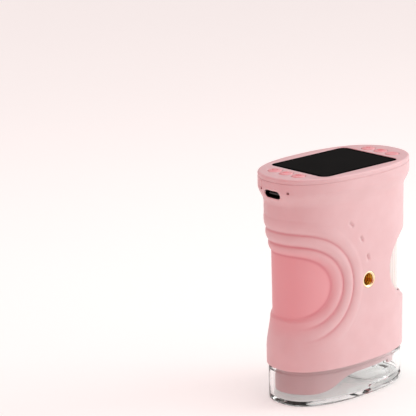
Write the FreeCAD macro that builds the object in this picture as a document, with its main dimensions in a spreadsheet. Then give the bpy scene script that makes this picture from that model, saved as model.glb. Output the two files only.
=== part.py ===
import FreeCAD, Part
import Sketcher
import os
import re
from FreeCAD import Placement, Rotation, Vector

# A hand-held digital microscope for children: a moulded oval sleeve with a flared head that carries
# a screen and six buttons, a focus wheel in a cutout at one end, and a clear foot that stands on the
# specimen. X is the long axis (USB end at -X, wheel end at +X), Y is the depth (front face at -Y),
# Z is up, and the origin is the middle of the foot's underside. Millimetres.

doc = FreeCAD.newDocument("kids_microscope")
sheet = doc.addObject("Spreadsheet::Sheet", "dims")

dimensions = [
    # oval section of the sleeve at its bottom edge: two end arcs and two flat side arcs
    ("half_length", 34.55),
    ("half_width", 19.15),
    ("end_radius", 16.3),
    # levels of the sleeve and the head
    ("body_bottom", 15.8),
    ("lip_start", 87.2),
    ("lip_full", 94.6),
    ("seam_level", 98.2),
    ("top_level", 100.4),
    ("draft", 0.5),
    ("lip_overhang", 2.4),
    ("edge_round", 0.9),
    ("wall", 1.8),
    ("head_wall", 2.1),
    ("head_depth", 5.8),
    # general clearances
    ("fit_gap", 0.15),
    ("run_gap", 0.05),
    # finger grip: stepped ellipses around the -X end
    ("grip_level", 52.3),
    ("grip_inset", 0.5),
    ("grip_length", 25.6),
    ("grip_height", 24.0),
    ("grip_step", 5.2),
    ("grip_depth", 0.8),
    ("bowl_depth", 1.3),
    ("grip_wall", 1.7),
    # tick marks and tripod insert on both broad faces
    ("tick_radius", 36.0),
    ("tick_first", 16.0),
    ("tick_pitch", 15.0),
    ("tick_length", 3.4),
    ("tick_width", 1.2),
    ("tick_depth", 0.5),
    ("insert_x", 1.2),
    ("insert_level", 52.0),
    ("insert_radius", 3.65),
    ("insert_bore", 2.6),
    ("insert_length", 8.0),
    ("insert_chamfer", 0.5),
    ("insert_boss", 5.0),
    # wheel cutout at the +X end
    ("cut_reach", 14.4),
    ("cut_level", 53.2),
    ("cut_length", 17.0),
    ("cut_height", 14.9),
    # lanyard eyes and small holes
    ("eye_level", 81.0),
    ("eye_pitch", 4.9),
    ("eye_height", 3.0),
    ("eye_width", 2.0),
    ("pinhole_radius", 0.5),
    ("pinhole_y", 8.4),
    ("pinhole_rise", 0.8),
    ("icon_length", 4.4),
    ("icon_height", 3.4),
    ("icon_depth", 0.25),
    ("icon_shift", 0.8),
    ("icon_drop", 0.4),
    # shelf and screw bosses inside the sleeve
    ("shelf_level", 30.5),
    ("shelf_thick", 2.0),
    ("shelf_end", 2.6),
    ("boss_radius", 2.5),
    ("rear_boss_x", 20.0),
    ("rear_boss_y", 7.5),
    ("mid_boss_x", 0.5),
    ("mid_boss_y", 10.6),
    ("board_boss_x", 20.0),
    ("board_boss_y", 12.8),
    ("board_boss_height", 7.0),
    # screen
    ("window_length", 45.0),
    ("window_width", 33.6),
    ("window_corner", 3.4),
    ("window_thick", 1.0),
    ("window_sink", 0.1),
    ("window_ledge", 1.6),
    ("window_gap", 0.1),
    ("lcd_thick", 2.0),
    ("lcd_margin", 0.3),
    ("lcd_corner", 0.6),
    ("lcd_gap", 0.1),
    # buttons
    ("button_x", 28.2),
    ("button_arc", 0.3),
    ("button_pitch", 7.1),
    ("button_radius", 2.9),
    ("button_rise", 0.45),
    ("button_flange", 0.6),
    ("flange_thick", 0.7),
    ("stem_radius", 1.3),
    ("stem_length", 0.7),
    ("stem_gap", 0.1),
    ("button_travel", 0.45),
    # head tabs
    ("tab_x", 12.0),
    ("tab_width", 6.0),
    ("tab_thick", 1.0),
    ("tab_depth", 3.2),
    # main board and what it carries
    ("board_thick", 1.2),
    ("board_gap", 0.3),
    ("switch_length", 2.8),
    ("switch_width", 3.2),
    ("dome_radius", 0.9),
    ("dome_rise", 0.4),
    ("edge_margin", 2.4),
    ("usb_width", 8.94),
    ("usb_height", 3.26),
    ("usb_length", 6.1),
    ("usb_wall", 0.3),
    ("usb_rise", 0.4),
    ("usb_recess", 1.4),
    ("tongue_width", 6.6),
    ("tongue_thick", 0.7),
    ("tongue_sink", 0.8),
    ("tongue_base", 1.4),
    ("screw_radius", 0.95),
    ("screw_head", 1.75),
    ("screw_head_thick", 1.2),
    ("screw_slot", 0.5),
    ("screw_spare", 0.5),
    ("board_screw_length", 5.0),
    # battery
    ("battery_x", 9.6),
    ("battery_thick", 9.0),
    ("battery_gap", 2.0),
    ("battery_height", 42.0),
    ("battery_corner", 2.2),
    ("cell_lead_pitch", 6.0),
    ("foam_thick", 0.8),
    ("rib_thick", 1.4),
    ("rib_height", 33.6),
    # focus wheel and optics, on one upright axis
    ("wheel_radius", 13.9),
    ("wheel_height", 31.0),
    ("wheel_round", 1.2),
    ("knurl_radius", 0.55),
    ("knurl_shift", 0.165),
    ("knurl_count", 48),
    ("column_radius", 9.0),
    ("column_wall", 1.6),
    ("column_bore", "=column_radius - column_wall"),
    ("column_top", 76.0),
    ("shoulder_step", 2.6),
    ("shoulder_radius", "=column_radius + shoulder_step"),
    ("shoulder_thick", 2.0),
    ("side_play", 0.2),
    ("retainer_thick", 1.5),
    ("foot_step", 1.8),
    ("foot_radius", "=column_radius + foot_step"),
    ("foot_lip", 1.1),
    ("web_thick", 1.6),
    ("foot_height", 4.6),
    ("thread_pitch", 7.2),
    ("thread_overrun", 20.0),
    ("focus_turn", 300.0),
    ("pin_radius", 1.0),
    ("pin_reach", 1.4),
    ("pin_hold", 1.6),
    ("groove_gap", 0.4),
    ("pin_level", 45.5),
    ("snout_radius", 4.9),
    ("snout_bottom", 14.6),
    ("carriage_bottom", 39.0),
    ("carriage_top", 54.0),
    ("barrel_slope", 2.0),
    ("front_seat", 3.2),
    ("rear_seat", 7.0),
    ("front_lens_radius", 3.8),
    ("front_lens_edge", 1.4),
    ("front_lens_crown", 0.5),
    ("rear_lens_radius", 5.4),
    ("rear_lens_edge", 1.6),
    ("rear_lens_crown", 0.7),
    ("ring_width", 0.9),
    ("ring_thick", 0.7),
    ("light_bore", 3.1),
    ("holder_height", 6.0),
    ("holder_step", 1.8),
    ("holder_radius", "=column_radius + holder_step"),
    ("roof_thick", 2.0),
    ("sensor_side", 7.0),
    ("sensor_thick", 1.0),
    ("sensor_board_thick", 1.0),
    ("small_screw_radius", 0.6),
    ("small_screw_depth", 1.6),
    ("small_screw_head", 1.2),
    ("small_screw_head_thick", 0.7),
    # light ring under the column
    ("light_thick", 1.0),
    ("light_hole", 5.4),
    ("led_count", 8),
    ("led_side", 1.6),
    ("led_thick", 0.7),
    ("diffuser_thick", 0.8),
    ("diffuser_radius", 8.4),
    # shroud: the pink tub seen through the clear foot
    ("shroud_wall", 1.6),
    ("shroud_low", 4.9),
    ("shroud_high", 11.4),
    ("shroud_top", 23.3),
    ("flange_low", 21.6),
    ("ramp_start", -24.0),
    ("ramp_end", -2.0),
    ("lug_x", 19.5),
    ("lug_width", 4.0),
    ("lug_drop", 1.6),
    ("lug_thick", 1.1),
    ("post_margin", 0.3),
    ("screw_seat", 4.0),
    ("shroud_screw_length", 9.5),
    # clear foot
    ("foot_inset", 0.75),
    ("foot_wall", 1.85),
    ("foot_floor", 2.05),
    ("foot_round", 1.2),
    ("foot_gap", 0.2),
    ("spigot_gap", 0.15),
    ("spigot_inset", "=wall + spigot_gap"),
    ("spigot_wall", 1.15),
    ("tub_gap", 0.3),
    ("shroud_inset", "=spigot_inset + spigot_wall + tub_gap"),
    ("spigot_top", 21.4),
    ("slide_height", 2.05),
    ("slide_start", 2.9),
    ("view_radius", 9.5),
    # the optical axis stands as near the +X end as the shroud allows, and the cutout faces it
    ("axis_x", "=half_length - shroud_inset - shroud_wall - foot_radius - fit_gap"),
    ("cut_x", "=axis_x + cut_reach"),
    # cables
    ("lead_radius", 0.4),
    ("lead_pitch", 1.2),
    ("lead_x", 0.2),
    ("lead_bend", 3.0),
    ("lead_tuck", 2.4),
    ("lead_notch", 2.2),
    ("ribbon_width", 9.0),
    ("ribbon_thick", 0.25),
    ("ribbon_shift", 2.0),
]

for row, (alias, value) in enumerate(dimensions, start=1):
    sheet.set(f"A{row}", alias)
    sheet.set(f"B{row}", str(value))
    sheet.setAlias(f"B{row}", alias)
doc.recompute()

aliasPattern = re.compile(r"\b(" + "|".join(alias for alias, value in dimensions) + r")\b")

# lengths that several pieces share, worked out from the sheet
sideRadius = ("(((half_length - end_radius)^2 + half_width^2 - end_radius^2)"
              " / (2 * (half_width - end_radius)))")
lipOffset = "(draft + lip_overhang)"
pocketOffset = "(draft + lip_overhang - head_wall)"
ledgeLevel = "(seam_level - head_depth)"
boardTop = f"({ledgeLevel} + board_thick)"
flangeTop = "(seam_level - lcd_gap)"
stemBottom = f"({flangeTop} - flange_thick - stem_length)"
usbLevel = f"({ledgeLevel} + usb_rise)"
pinholeLevel = f"({boardTop} + pinhole_rise)"
shelfTop = "(shelf_level + shelf_thick)"
wheelBottom = "(cut_level - wheel_height / 2)"
wheelTop = "(cut_level + wheel_height / 2)"
floorTop = "(shroud_high + shroud_wall)"
webBottom = f"({floorTop} + foot_height - web_thick)"
footPlug = "(foot_radius - foot_lip)"
bowlTotal = "(2 * grip_depth + bowl_depth)"
insertFace = "(half_width + draft * (insert_level - body_bottom) / (lip_start - body_bottom))"
focusTravel = "(thread_pitch * focus_turn / 360)"
batteryWidth = f"(2 * (half_width - {bowlTotal} - grip_wall - battery_gap))"

nodes = []


def spell(text):
    """A formula in sheet aliases, written the way the document's expressions need it."""
    return aliasPattern.sub(r"dims.\1", str(text))


def measure(text):
    """The value of a formula in sheet aliases."""
    value = sheet.evalExpression(spell(text))
    return float(getattr(value, "Value", value))


def bind(item, prop, text):
    item.setExpression(prop, spell(text))


def place(item, x="0", y="0", z="0", turn=None):
    """Put an item at a point given by formulas, turned by a fixed rotation."""
    item.Placement = Placement(Vector(), turn or Rotation())
    for axis, text in zip("xyz", (x, y, z)):
        bind(item, f"Placement.Base.{axis}", text)
    return item


def keep(item, label):
    """Mark an item as a sub-part of its own."""
    item.Label = label
    nodes.append(item)
    return item


def add(kind, name):
    return doc.addObject(kind, name)


def cut(name, base, tool):
    result = add("Part::Cut", name)
    result.Base = base
    result.Tool = tool
    return result


def fuse(name, shapes):
    result = add("Part::MultiFuse", name)
    result.Shapes = shapes
    return result


def common(name, base, tool):
    result = add("Part::Common", name)
    result.Base = base
    result.Tool = tool
    return result


def group(name, shapes):
    result = add("Part::Compound", name)
    result.Links = shapes
    return result


def box(name, size, corner):
    """A block from its three sizes and its lowest corner."""
    item = add("Part::Box", name)
    for prop, text in zip(("Length", "Width", "Height"), size):
        bind(item, prop, text)
    return place(item, *corner)


def centredBox(name, size, middle, bottom):
    """A block centred on X and Y about a point, standing on a level."""
    corner = (f"{middle[0]} - ({size[0]}) / 2", f"{middle[1]} - ({size[1]}) / 2", bottom)
    return box(name, size, corner)


def rod(name, radius, length, start, turn=None):
    """A cylinder from its start point, along Z or as turned."""
    item = add("Part::Cylinder", name)
    bind(item, "Radius", radius)
    bind(item, "Height", length)
    return place(item, *start, turn=turn)


alongMinusX = Rotation(Vector(0, 1, 0), -90)
alongPlusX = Rotation(Vector(0, 1, 0), 90)
alongPlusY = Rotation(Vector(1, 0, 0), -90)
alongMinusY = Rotation(Vector(1, 0, 0), 90)


def newBody(name):
    return add("PartDesign::Body", name)


def originPlane(body, role):
    return next(f for f in body.Origin.OriginFeatures if f.Role == role)


def newSketch(body, name, role="XY_Plane", level="0"):
    """An empty sketch on one of the body's own origin planes, lifted by a formula."""
    sketch = body.newObject("Sketcher::SketchObject", name)
    sketch.AttachmentSupport = [(originPlane(body, role), "")]
    sketch.MapMode = "FlatFace"
    sketch.AttachmentOffset = Placement(Vector(0, 0, measure(level)), Rotation())
    bind(sketch, "AttachmentOffset.Base.z", level)
    return sketch


def drive(sketch, constraint, name, formula):
    """Add a named dimension to a sketch and bind it to the sheet."""
    index = sketch.addConstraint(constraint)
    sketch.renameConstraint(index, name)
    bind(sketch, f"Constraints.{name}", formula)


def ovalSketch(body, name, offset, level):
    """The sleeve's oval grown by an offset: end arcs 0 and 2, side arcs 1 and 3, all tangent."""
    sketch = newSketch(body, name, "XY_Plane", level)
    reach = measure("half_length - end_radius")
    small = measure(f"end_radius + {offset}")
    large = measure(f"{sideRadius} + {offset}")
    drop = measure(f"half_width + {offset}") - large
    joint = Vector(reach, -drop, 0).getAngle(Vector(1, 0, 0))
    quarter = Vector(0, 1, 0).getAngle(Vector(1, 0, 0))
    up = Vector(0, 0, 1)
    half = 2 * quarter
    arcs = [
        (Vector(reach, 0, 0), small, -joint, joint),
        (Vector(0, drop, 0), large, joint, half - joint),
        (Vector(-reach, 0, 0), small, half - joint, half + joint),
        (Vector(0, -drop, 0), large, half + joint, 2 * half - joint),
    ]
    for middle, radius, first, last in arcs:
        sketch.addGeometry(Part.ArcOfCircle(Part.Circle(middle, up, radius), first, last), False)
    sketch.addConstraint(Sketcher.Constraint("Tangent", 0, 2, 1, 1))
    for arc in (1, 2, 3):
        sketch.addConstraint(Sketcher.Constraint("Coincident", arc, 2, (arc + 1) % 4, 1))
    sketch.addConstraint(Sketcher.Constraint("Symmetric", 0, 1, 0, 2, -1))
    sketch.addConstraint(Sketcher.Constraint("Symmetric", 1, 1, 1, 2, -2))
    sketch.addConstraint(Sketcher.Constraint("Symmetric", 2, 1, 2, 2, -1))
    sketch.addConstraint(Sketcher.Constraint("Equal", 0, 2))
    sketch.addConstraint(Sketcher.Constraint("Equal", 1, 3))
    drive(sketch, Sketcher.Constraint("DistanceX", -1, 1, 0, 3, reach), "reach",
          "half_length - end_radius")
    drive(sketch, Sketcher.Constraint("Radius", 0, small), "endArc", f"end_radius + {offset}")
    drive(sketch, Sketcher.Constraint("Radius", 1, large), "sideArc", f"{sideRadius} + {offset}")
    return sketch


def circleSketch(body, name, radius, x, level):
    """One circle on the X axis of a level plane."""
    sketch = newSketch(body, name, "XY_Plane", level)
    sketch.addGeometry(Part.Circle(Vector(measure(x), 0, 0), Vector(0, 0, 1), measure(radius)), False)
    drive(sketch, Sketcher.Constraint("Radius", 0, measure(radius)), "radius", radius)
    sketch.addConstraint(Sketcher.Constraint("PointOnObject", 0, 3, -1))
    drive(sketch, Sketcher.Constraint("DistanceX", -1, 1, 0, 3, measure(x)), "distance", x)
    return sketch


def polygonSketch(body, name, corners, role="XZ_Plane", level="0"):
    """A closed outline of straight edges, each corner held by two bound distances."""
    sketch = newSketch(body, name, role, level)
    points = [Vector(measure(x), measure(y), 0) for x, y in corners]
    count = len(points)
    for index in range(count):
        sketch.addGeometry(Part.LineSegment(points[index], points[(index + 1) % count]), False)
    for index in range(count):
        following = (index + 1) % count
        sketch.addConstraint(Sketcher.Constraint("Coincident", index, 2, following, 1))
    for index, (x, y) in enumerate(corners):
        for kind, text, axis in (("DistanceX", x, -2), ("DistanceY", y, -1)):
            if abs(measure(text)) < 1e-9:
                sketch.addConstraint(Sketcher.Constraint("PointOnObject", index, 1, axis))
            else:
                drive(sketch, Sketcher.Constraint(kind, -1, 1, index, 1, measure(text)),
                      f"{kind.lower()}{index}", text)
    return sketch


def roundedSketch(body, name, length, width, corner, level):
    """A rectangle with round corners, centred on the axes."""
    sketch = newSketch(body, name, "XY_Plane", level)
    halfL, halfW, r = measure(length) / 2, measure(width) / 2, measure(corner)
    up = Vector(0, 0, 1)
    quarter = Vector(0, 1, 0).getAngle(Vector(1, 0, 0))
    innerX, innerY = halfL - r, halfW - r
    middles = [(innerX, innerY), (-innerX, innerY), (-innerX, -innerY), (innerX, -innerY)]
    for index, (x, y) in enumerate(middles):
        arc = Part.ArcOfCircle(Part.Circle(Vector(x, y, 0), up, r), index * quarter,
                               (index + 1) * quarter)
        sketch.addGeometry(arc, False)
    ends = [((innerX, halfW), (-innerX, halfW)), ((-halfL, innerY), (-halfL, -innerY)),
            ((-innerX, -halfW), (innerX, -halfW)), ((halfL, -innerY), (halfL, innerY))]
    for first, last in ends:
        sketch.addGeometry(Part.LineSegment(Vector(*first, 0), Vector(*last, 0)), False)
    for index in range(4):
        sketch.addConstraint(Sketcher.Constraint("Tangent", index, 2, 4 + index, 1))
        sketch.addConstraint(Sketcher.Constraint("Tangent", 4 + index, 2, (index + 1) % 4, 1))
    for index in (4, 6):
        sketch.addConstraint(Sketcher.Constraint("Horizontal", index))
    for index in (5, 7):
        sketch.addConstraint(Sketcher.Constraint("Vertical", index))
    for index in (1, 2, 3):
        sketch.addConstraint(Sketcher.Constraint("Equal", 0, index))
    sketch.addConstraint(Sketcher.Constraint("Symmetric", 0, 3, 2, 3, -1, 1))
    drive(sketch, Sketcher.Constraint("Radius", 0, r), "corner", corner)
    drive(sketch, Sketcher.Constraint("DistanceX", -1, 1, 0, 3, innerX), "across",
          f"({length}) / 2 - ({corner})")
    drive(sketch, Sketcher.Constraint("DistanceY", -1, 1, 0, 3, innerY), "along",
          f"({width}) / 2 - ({corner})")
    return sketch


def pad(body, sketch, length, name, both=False):
    feature = body.newObject("PartDesign::Pad", name)
    feature.Profile = sketch
    bind(feature, "Length", length)
    feature.Midplane = both
    return feature


def pocket(body, sketch, length, name):
    """A pocket from its sketch downwards."""
    feature = body.newObject("PartDesign::Pocket", name)
    feature.Profile = sketch
    bind(feature, "Length", length)
    return feature


def loft(body, sketches, name, ruled=True, subtract=False):
    kind = "PartDesign::SubtractiveLoft" if subtract else "PartDesign::AdditiveLoft"
    feature = body.newObject(kind, name)
    feature.Profile = sketches[0]
    feature.Sections = sketches[1:]
    feature.Ruled = ruled
    return feature


def turned(body, corners, name):
    """A solid of revolution about the body's Z axis, from an outline in radius and height."""
    sketch = polygonSketch(body, f"{name}_outline", corners)
    feature = body.newObject("PartDesign::Revolution", name)
    feature.Profile = sketch
    feature.ReferenceAxis = (sketch, ["V_Axis"])
    feature.Angle = 360
    return feature


def edgesAt(shape, test):
    return [f"Edge{i}" for i, edge in enumerate(shape.Edges, start=1) if test(edge)]


def atHeight(level):
    """A test for edges that lie wholly in one level plane."""
    def test(edge):
        bounds = edge.BoundBox
        return abs(bounds.ZMin - level) < 1e-4 and abs(bounds.ZMax - level) < 1e-4
    return test


def roundEdges(body, base, radius, level, name):
    """Round every edge of a feature that lies in one level plane."""
    doc.recompute()
    feature = body.newObject("PartDesign::Fillet", name)
    feature.Base = (base, edgesAt(base.Shape, atHeight(measure(level))))
    bind(feature, "Radius", radius)
    return feature


def ovalPrism(name, offset, bottom, height):
    """A plain oval block, used as a piece or as a cutting tool."""
    body = newBody(name)
    pad(body, ovalSketch(body, f"{name}_oval", offset, bottom), height, f"{name}_pad")
    return body


def ellipseAlongY(name, x, z, majorRadius, minorRadius):
    """An elliptic cylinder along Y, right through the sleeve."""
    rim = add("Part::Ellipse", f"{name}_rim")
    bind(rim, "MajorRadius", majorRadius)
    bind(rim, "MinorRadius", minorRadius)
    place(rim, x, "-2 * half_width", z, turn=alongMinusY)
    block = add("Part::Extrusion", name)
    block.Base = rim
    block.DirMode = "Custom"
    block.Dir = Vector(0, 1, 0)
    bind(block, "LengthFwd", "4 * half_width")
    block.Solid = True
    return block


def gripEllipse(name, grow):
    """An elliptic cylinder around the grip's centre, smaller or larger than its rim."""
    return ellipseAlongY(name, "grip_inset - half_length", "grip_level",
                         f"grip_length + {grow}", f"grip_height + {grow}")


def sleeveCore(name, offset, bottom="body_bottom", top="lip_start"):
    """The drafted inside of the sleeve, grown by an offset from its outer skin."""
    body = newBody(name)
    low = ovalSketch(body, f"{name}_low", offset, bottom)
    high = ovalSketch(body, f"{name}_high", f"{offset} + draft", top)
    loft(body, [low, high], f"{name}_loft")
    return body


def makeSleeve():
    """Outer skin and cavity of the sleeve: a drafted oval that flares out into the head."""
    body = newBody("sleeve")
    low = ovalSketch(body, "sleeve_low", "0", "body_bottom")
    high = ovalSketch(body, "sleeve_high", "draft", "lip_start")
    loft(body, [low, high], "sleeve_wall")
    flareSteps = 8
    sections = []
    for step in range(flareSteps + 1):
        share = step / flareSteps
        offset = f"(draft + lip_overhang * (1 - cos(180 * {share})) / 2)"
        level = f"lip_start + (lip_full - lip_start) * {share}"
        sections.append(ovalSketch(body, f"flare_{step}", offset, level))
    loft(body, sections, "sleeve_flare", ruled=False)
    rim = ovalSketch(body, "lip_rim", lipOffset, "lip_full")
    pad(body, rim, "seam_level - lip_full", "lip")
    inner = [ovalSketch(body, "cavity_low", "-wall", "body_bottom"),
             ovalSketch(body, "cavity_high", "draft - wall", ledgeLevel)]
    loft(body, inner, "cavity", subtract=True)
    pocket(body, ovalSketch(body, "head_oval", pocketOffset, "seam_level"), "head_depth",
           "head_pocket")
    return body


def gripSteps():
    """Three stacked cuts that step down towards the middle of the grip, and their backing wall."""
    depths = ["grip_depth", "2 * grip_depth", bowlTotal]
    tools = []
    for index, depth in enumerate(depths):
        ellipse = gripEllipse(f"grip_{index}", f"(-grip_step * {index})")
        core = sleeveCore(f"grip_core_{index}", f"(-({depth}))")
        tools.append(cut(f"grip_tool_{index}", ellipse, core))
    backing = common("backing_outer", gripEllipse("backing_rim", "grip_wall"),
                     sleeveCore("backing_skin", "(-wall / 2)"))
    room = sleeveCore("backing_core", f"(-({bowlTotal}) - grip_wall)")
    return tools, cut("grip_backing", backing, room)


def tickTools():
    """Three short round-ended grooves on an arc around the grip, on both broad faces."""
    tools = []
    for side, label in ((-1, "front"), (1, "rear")):
        for index in range(3):
            angle = f"(tick_first + tick_pitch * {index})"
            x = f"grip_inset - half_length + tick_radius * cos({angle})"
            z = f"grip_level + tick_radius * sin({angle})"
            body = newBody(f"tick_{label}_{index}")
            corners = [("-tick_width / 2", "-tick_length / 2"), ("tick_width / 2", "-tick_length / 2"),
                       ("tick_width / 2", "tick_length / 2"), ("-tick_width / 2", "tick_length / 2")]
            outline = polygonSketch(body, f"tick_{label}_{index}_outline", corners)
            pad(body, outline, "2 * tick_depth", f"tick_{label}_{index}_pad", both=True)
            rise = f"draft * (({z}) - body_bottom) / (lip_start - body_bottom)"
            drop = (f"({sideRadius} + {rise}) - "
                    f"sqrt(({sideRadius} + {rise})^2 - ({x})^2)")
            y = f"{side} * (half_width + {rise} - ({drop}))"
            place(body, x, y, z)
            bind(body, "Placement.Rotation.Axis.y", "-1")
            bind(body, "Placement.Rotation.Axis.z", "0")
            bind(body, "Placement.Rotation.Angle", angle)
            tools.append(body)
    return tools


def slotAlongX(name, width, height, z, start, length):
    """A block lying along X on the middle plane, with round sides."""
    straight = f"({width}) - ({height})"
    parts = [box(f"{name}_mid", (length, straight, height),
                 (start, f"-({straight}) / 2", f"({z}) - ({height}) / 2"))]
    for side in (-1, 1):
        parts.append(rod(f"{name}_end_{side + 1}", f"({height}) / 2", length,
                         (start, f"{side} * ({straight}) / 2", z), turn=alongPlusX))
    return fuse(name, parts)


rearBosses = [("-rear_boss_x", "-rear_boss_y"), ("-rear_boss_x", "rear_boss_y")]
midBosses = [("mid_boss_x", "-mid_boss_y"), ("mid_boss_x", "mid_boss_y")]
shroudScrewPlaces = rearBosses + midBosses
boardScrewPlaces = [(f"{x} * board_boss_x", f"{y} * board_boss_y") for x in (-1, 1) for y in (-1, 1)]


def makeBodyShell():
    """The whole sleeve: skin, grip, cutout, shelf, bosses and every hole."""
    tools, backing = gripSteps()
    inside = sleeveCore("shelf_skin", "(-wall / 2)")
    shelfBlock = box("shelf_block", ("half_length + shelf_end", "4 * half_width", "shelf_thick"),
                     ("-half_length", "-2 * half_width", "shelf_level"))
    shelf = common("shelf", shelfBlock, inside)
    ribs = []
    ribReach = "wall + grip_wall + 3 * grip_depth + bowl_depth"
    ribPlaces = ["-battery_x - battery_thick / 2 - rib_thick - fit_gap",
                 "-battery_x + battery_thick / 2 + fit_gap"]
    for side in (-1, 1):
        for index, x in enumerate(ribPlaces):
            y = "-half_width" if side < 0 else f"half_width - ({ribReach})"
            ribs.append(box(f"rib_{side + 1}_{index}", ("rib_thick", ribReach, "rib_height"),
                            (x, y, shelfTop)))
    ribSet = common("battery_ribs", group("rib_blocks", ribs), sleeveCore("rib_skin", "(-wall / 2)"))
    bosses = []
    for index, (x, y) in enumerate(shroudScrewPlaces):
        bosses.append(rod(f"shroud_boss_{index}", "boss_radius",
                          "shelf_level - shroud_top - fit_gap / 2 + shelf_thick / 2",
                          (x, y, "shroud_top + fit_gap / 2")))
    for index, (x, y) in enumerate(boardScrewPlaces):
        bosses.append(rod(f"board_boss_{index}", "boss_radius", "board_boss_height",
                          (x, y, f"{ledgeLevel} - board_boss_height")))
    for side in (-1, 1):
        turn = alongPlusY if side < 0 else alongMinusY
        bosses.append(rod(f"insert_boss_{side + 1}", "insert_boss",
                          "insert_length + grip_wall - wall / 2",
                          ("insert_x", f"{side} * ({insertFace} - wall / 2)", "insert_level"),
                          turn=turn))
    solid = fuse("shell_solid", [makeSleeve(), backing, shelf, ribSet] + bosses)

    tools += tickTools()
    tools.append(ellipseAlongY("wheel_cutout", "cut_x", "cut_level", "cut_length", "cut_height"))
    for side in (-1, 1):
        turn = alongPlusY if side < 0 else alongMinusY
        tools.append(rod(f"insert_hole_{side + 1}", "insert_radius", "insert_length + wall",
                         ("insert_x", f"{side} * ({insertFace} + wall)", "insert_level"), turn=turn))
    for index, (x, y) in enumerate(shroudScrewPlaces):
        tools.append(rod(f"shroud_pilot_{index}", "screw_radius", "shelf_level - shroud_top",
                         (x, y, "shroud_top")))
    for index, (x, y) in enumerate(boardScrewPlaces):
        tools.append(rod(f"board_pilot_{index}", "screw_radius", "board_screw_length",
                         (x, y, f"{ledgeLevel} - board_screw_length")))
    tools.append(slotAlongX("usb_port", "usb_width + 2 * fit_gap", "usb_height + 2 * fit_gap", usbLevel,
                            "-2 * half_length", "half_length + wall + usb_length"))
    for index, side in enumerate((-1, 1)):
        tools.append(rod(f"pinhole_{index}", "pinhole_radius", "half_length",
                         ("-half_length + 4 * wall", f"{side} * pinhole_y", pinholeLevel),
                         turn=alongMinusX))
    tools.append(rod("mic_hole", "pinhole_radius", "half_length", ("half_length - wall", "0", pinholeLevel),
                     turn=alongPlusX))
    for side in (-1, 1):
        tools.append(box(f"lanyard_eye_{side + 1}", ("4 * wall", "eye_width", "eye_height"),
                         ("half_length - 2 * wall", "-eye_width / 2",
                          f"eye_level + {side} * eye_pitch / 2 - eye_height / 2")))
    iconSkin = ovalPrism("icon_skin", f"({lipOffset} - icon_depth)", "seam_level - 3 * icon_height",
                         "4 * icon_height")
    iconBlock = box("icon_block", ("2 * half_length", "icon_length", "icon_height"),
                    ("-3 * half_length + end_radius", "pinhole_y - icon_length / 2 + icon_shift",
                     "seam_level - icon_height - icon_drop"))
    tools.append(cut("icon_recess", iconBlock, iconSkin))
    tools.append(rod("lead_hole", "lead_pitch + lead_radius", "3 * shelf_thick",
                     ("lead_x", "0", "shelf_level - shelf_thick")))
    return cut("body_shell", solid, group("shell_cuts", tools))


def buttonPlaces():
    """Names and centres of the six buttons, three at each end on a gentle arc."""
    names = {-1: ("button_power", "button_menu", "button_light"),
             1: ("button_zoom_in", "button_capture", "button_zoom_out")}
    places = []
    for side in (-1, 1):
        for row, name in zip((1, 0, -1), names[side]):
            x = f"{side} * (button_x - button_arc * {abs(row)})"
            places.append((name, x, f"{row} * button_pitch"))
    return places


def makeBezel():
    """Cap of the head: a rounded oval plate with the window seat, six button holes and four tabs."""
    body = newBody("bezel_plate")
    plate = pad(body, ovalSketch(body, "bezel_oval", lipOffset, "seam_level"),
                "top_level - seam_level", "bezel_pad")
    roundEdges(body, plate, "edge_round", "top_level", "bezel_round")
    seat = roundedSketch(body, "window_seat", "window_length + 2 * window_gap",
                         "window_width + 2 * window_gap", "window_corner + window_gap", "top_level")
    pocket(body, seat, "window_thick + window_sink", "window_pocket")
    aperture = roundedSketch(body, "aperture", "window_length - 2 * window_ledge",
                             "window_width - 2 * window_ledge", "window_corner - window_ledge",
                             "top_level")
    pocket(body, aperture, "top_level - seam_level", "aperture_pocket")
    tabs = []
    for sideX in (-1, 1):
        for sideY in (-1, 1):
            tabs.append(box(f"tab_{sideX + 1}_{sideY + 1}", ("tab_width", "2 * tab_thick", "tab_depth"),
                            (f"{sideX} * tab_x - tab_width / 2",
                             f"{sideY} * (half_width + {pocketOffset} - tab_thick) - tab_thick",
                             "seam_level - tab_depth")))
    outer = ovalPrism("tab_skin", f"({pocketOffset} - fit_gap)", "seam_level - 2 * tab_depth",
                      "3 * tab_depth")
    tabSet = common("tab_set", group("tab_blocks", tabs), outer)
    holes = [rod(f"{name}_hole", "button_radius + fit_gap", "3 * (top_level - seam_level)",
                 (x, y, "2 * seam_level - top_level")) for name, x, y in buttonPlaces()]
    return cut("top_bezel", fuse("bezel_solid", [body, tabSet]), group("button_holes", holes))


def makeButton(name, x, y):
    """A domed cap on a flange that cannot leave its hole, with a stem over its switch."""
    body = newBody(f"{name}_body")
    corners = [
        ("0", stemBottom),
        ("stem_radius", stemBottom),
        ("stem_radius", f"{flangeTop} - flange_thick"),
        ("button_radius + button_flange", f"{flangeTop} - flange_thick"),
        ("button_radius + button_flange", flangeTop),
        ("button_radius", flangeTop),
    ]
    for share in (1, 0.8, 0.45, 0):
        corners.append((f"button_radius * {share}", f"top_level + button_rise * sqrt(1 - {share}^2)"))
    turned(body, corners, f"{name}_turn")
    return keep(place(body, x, y, "0"), name)


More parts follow.
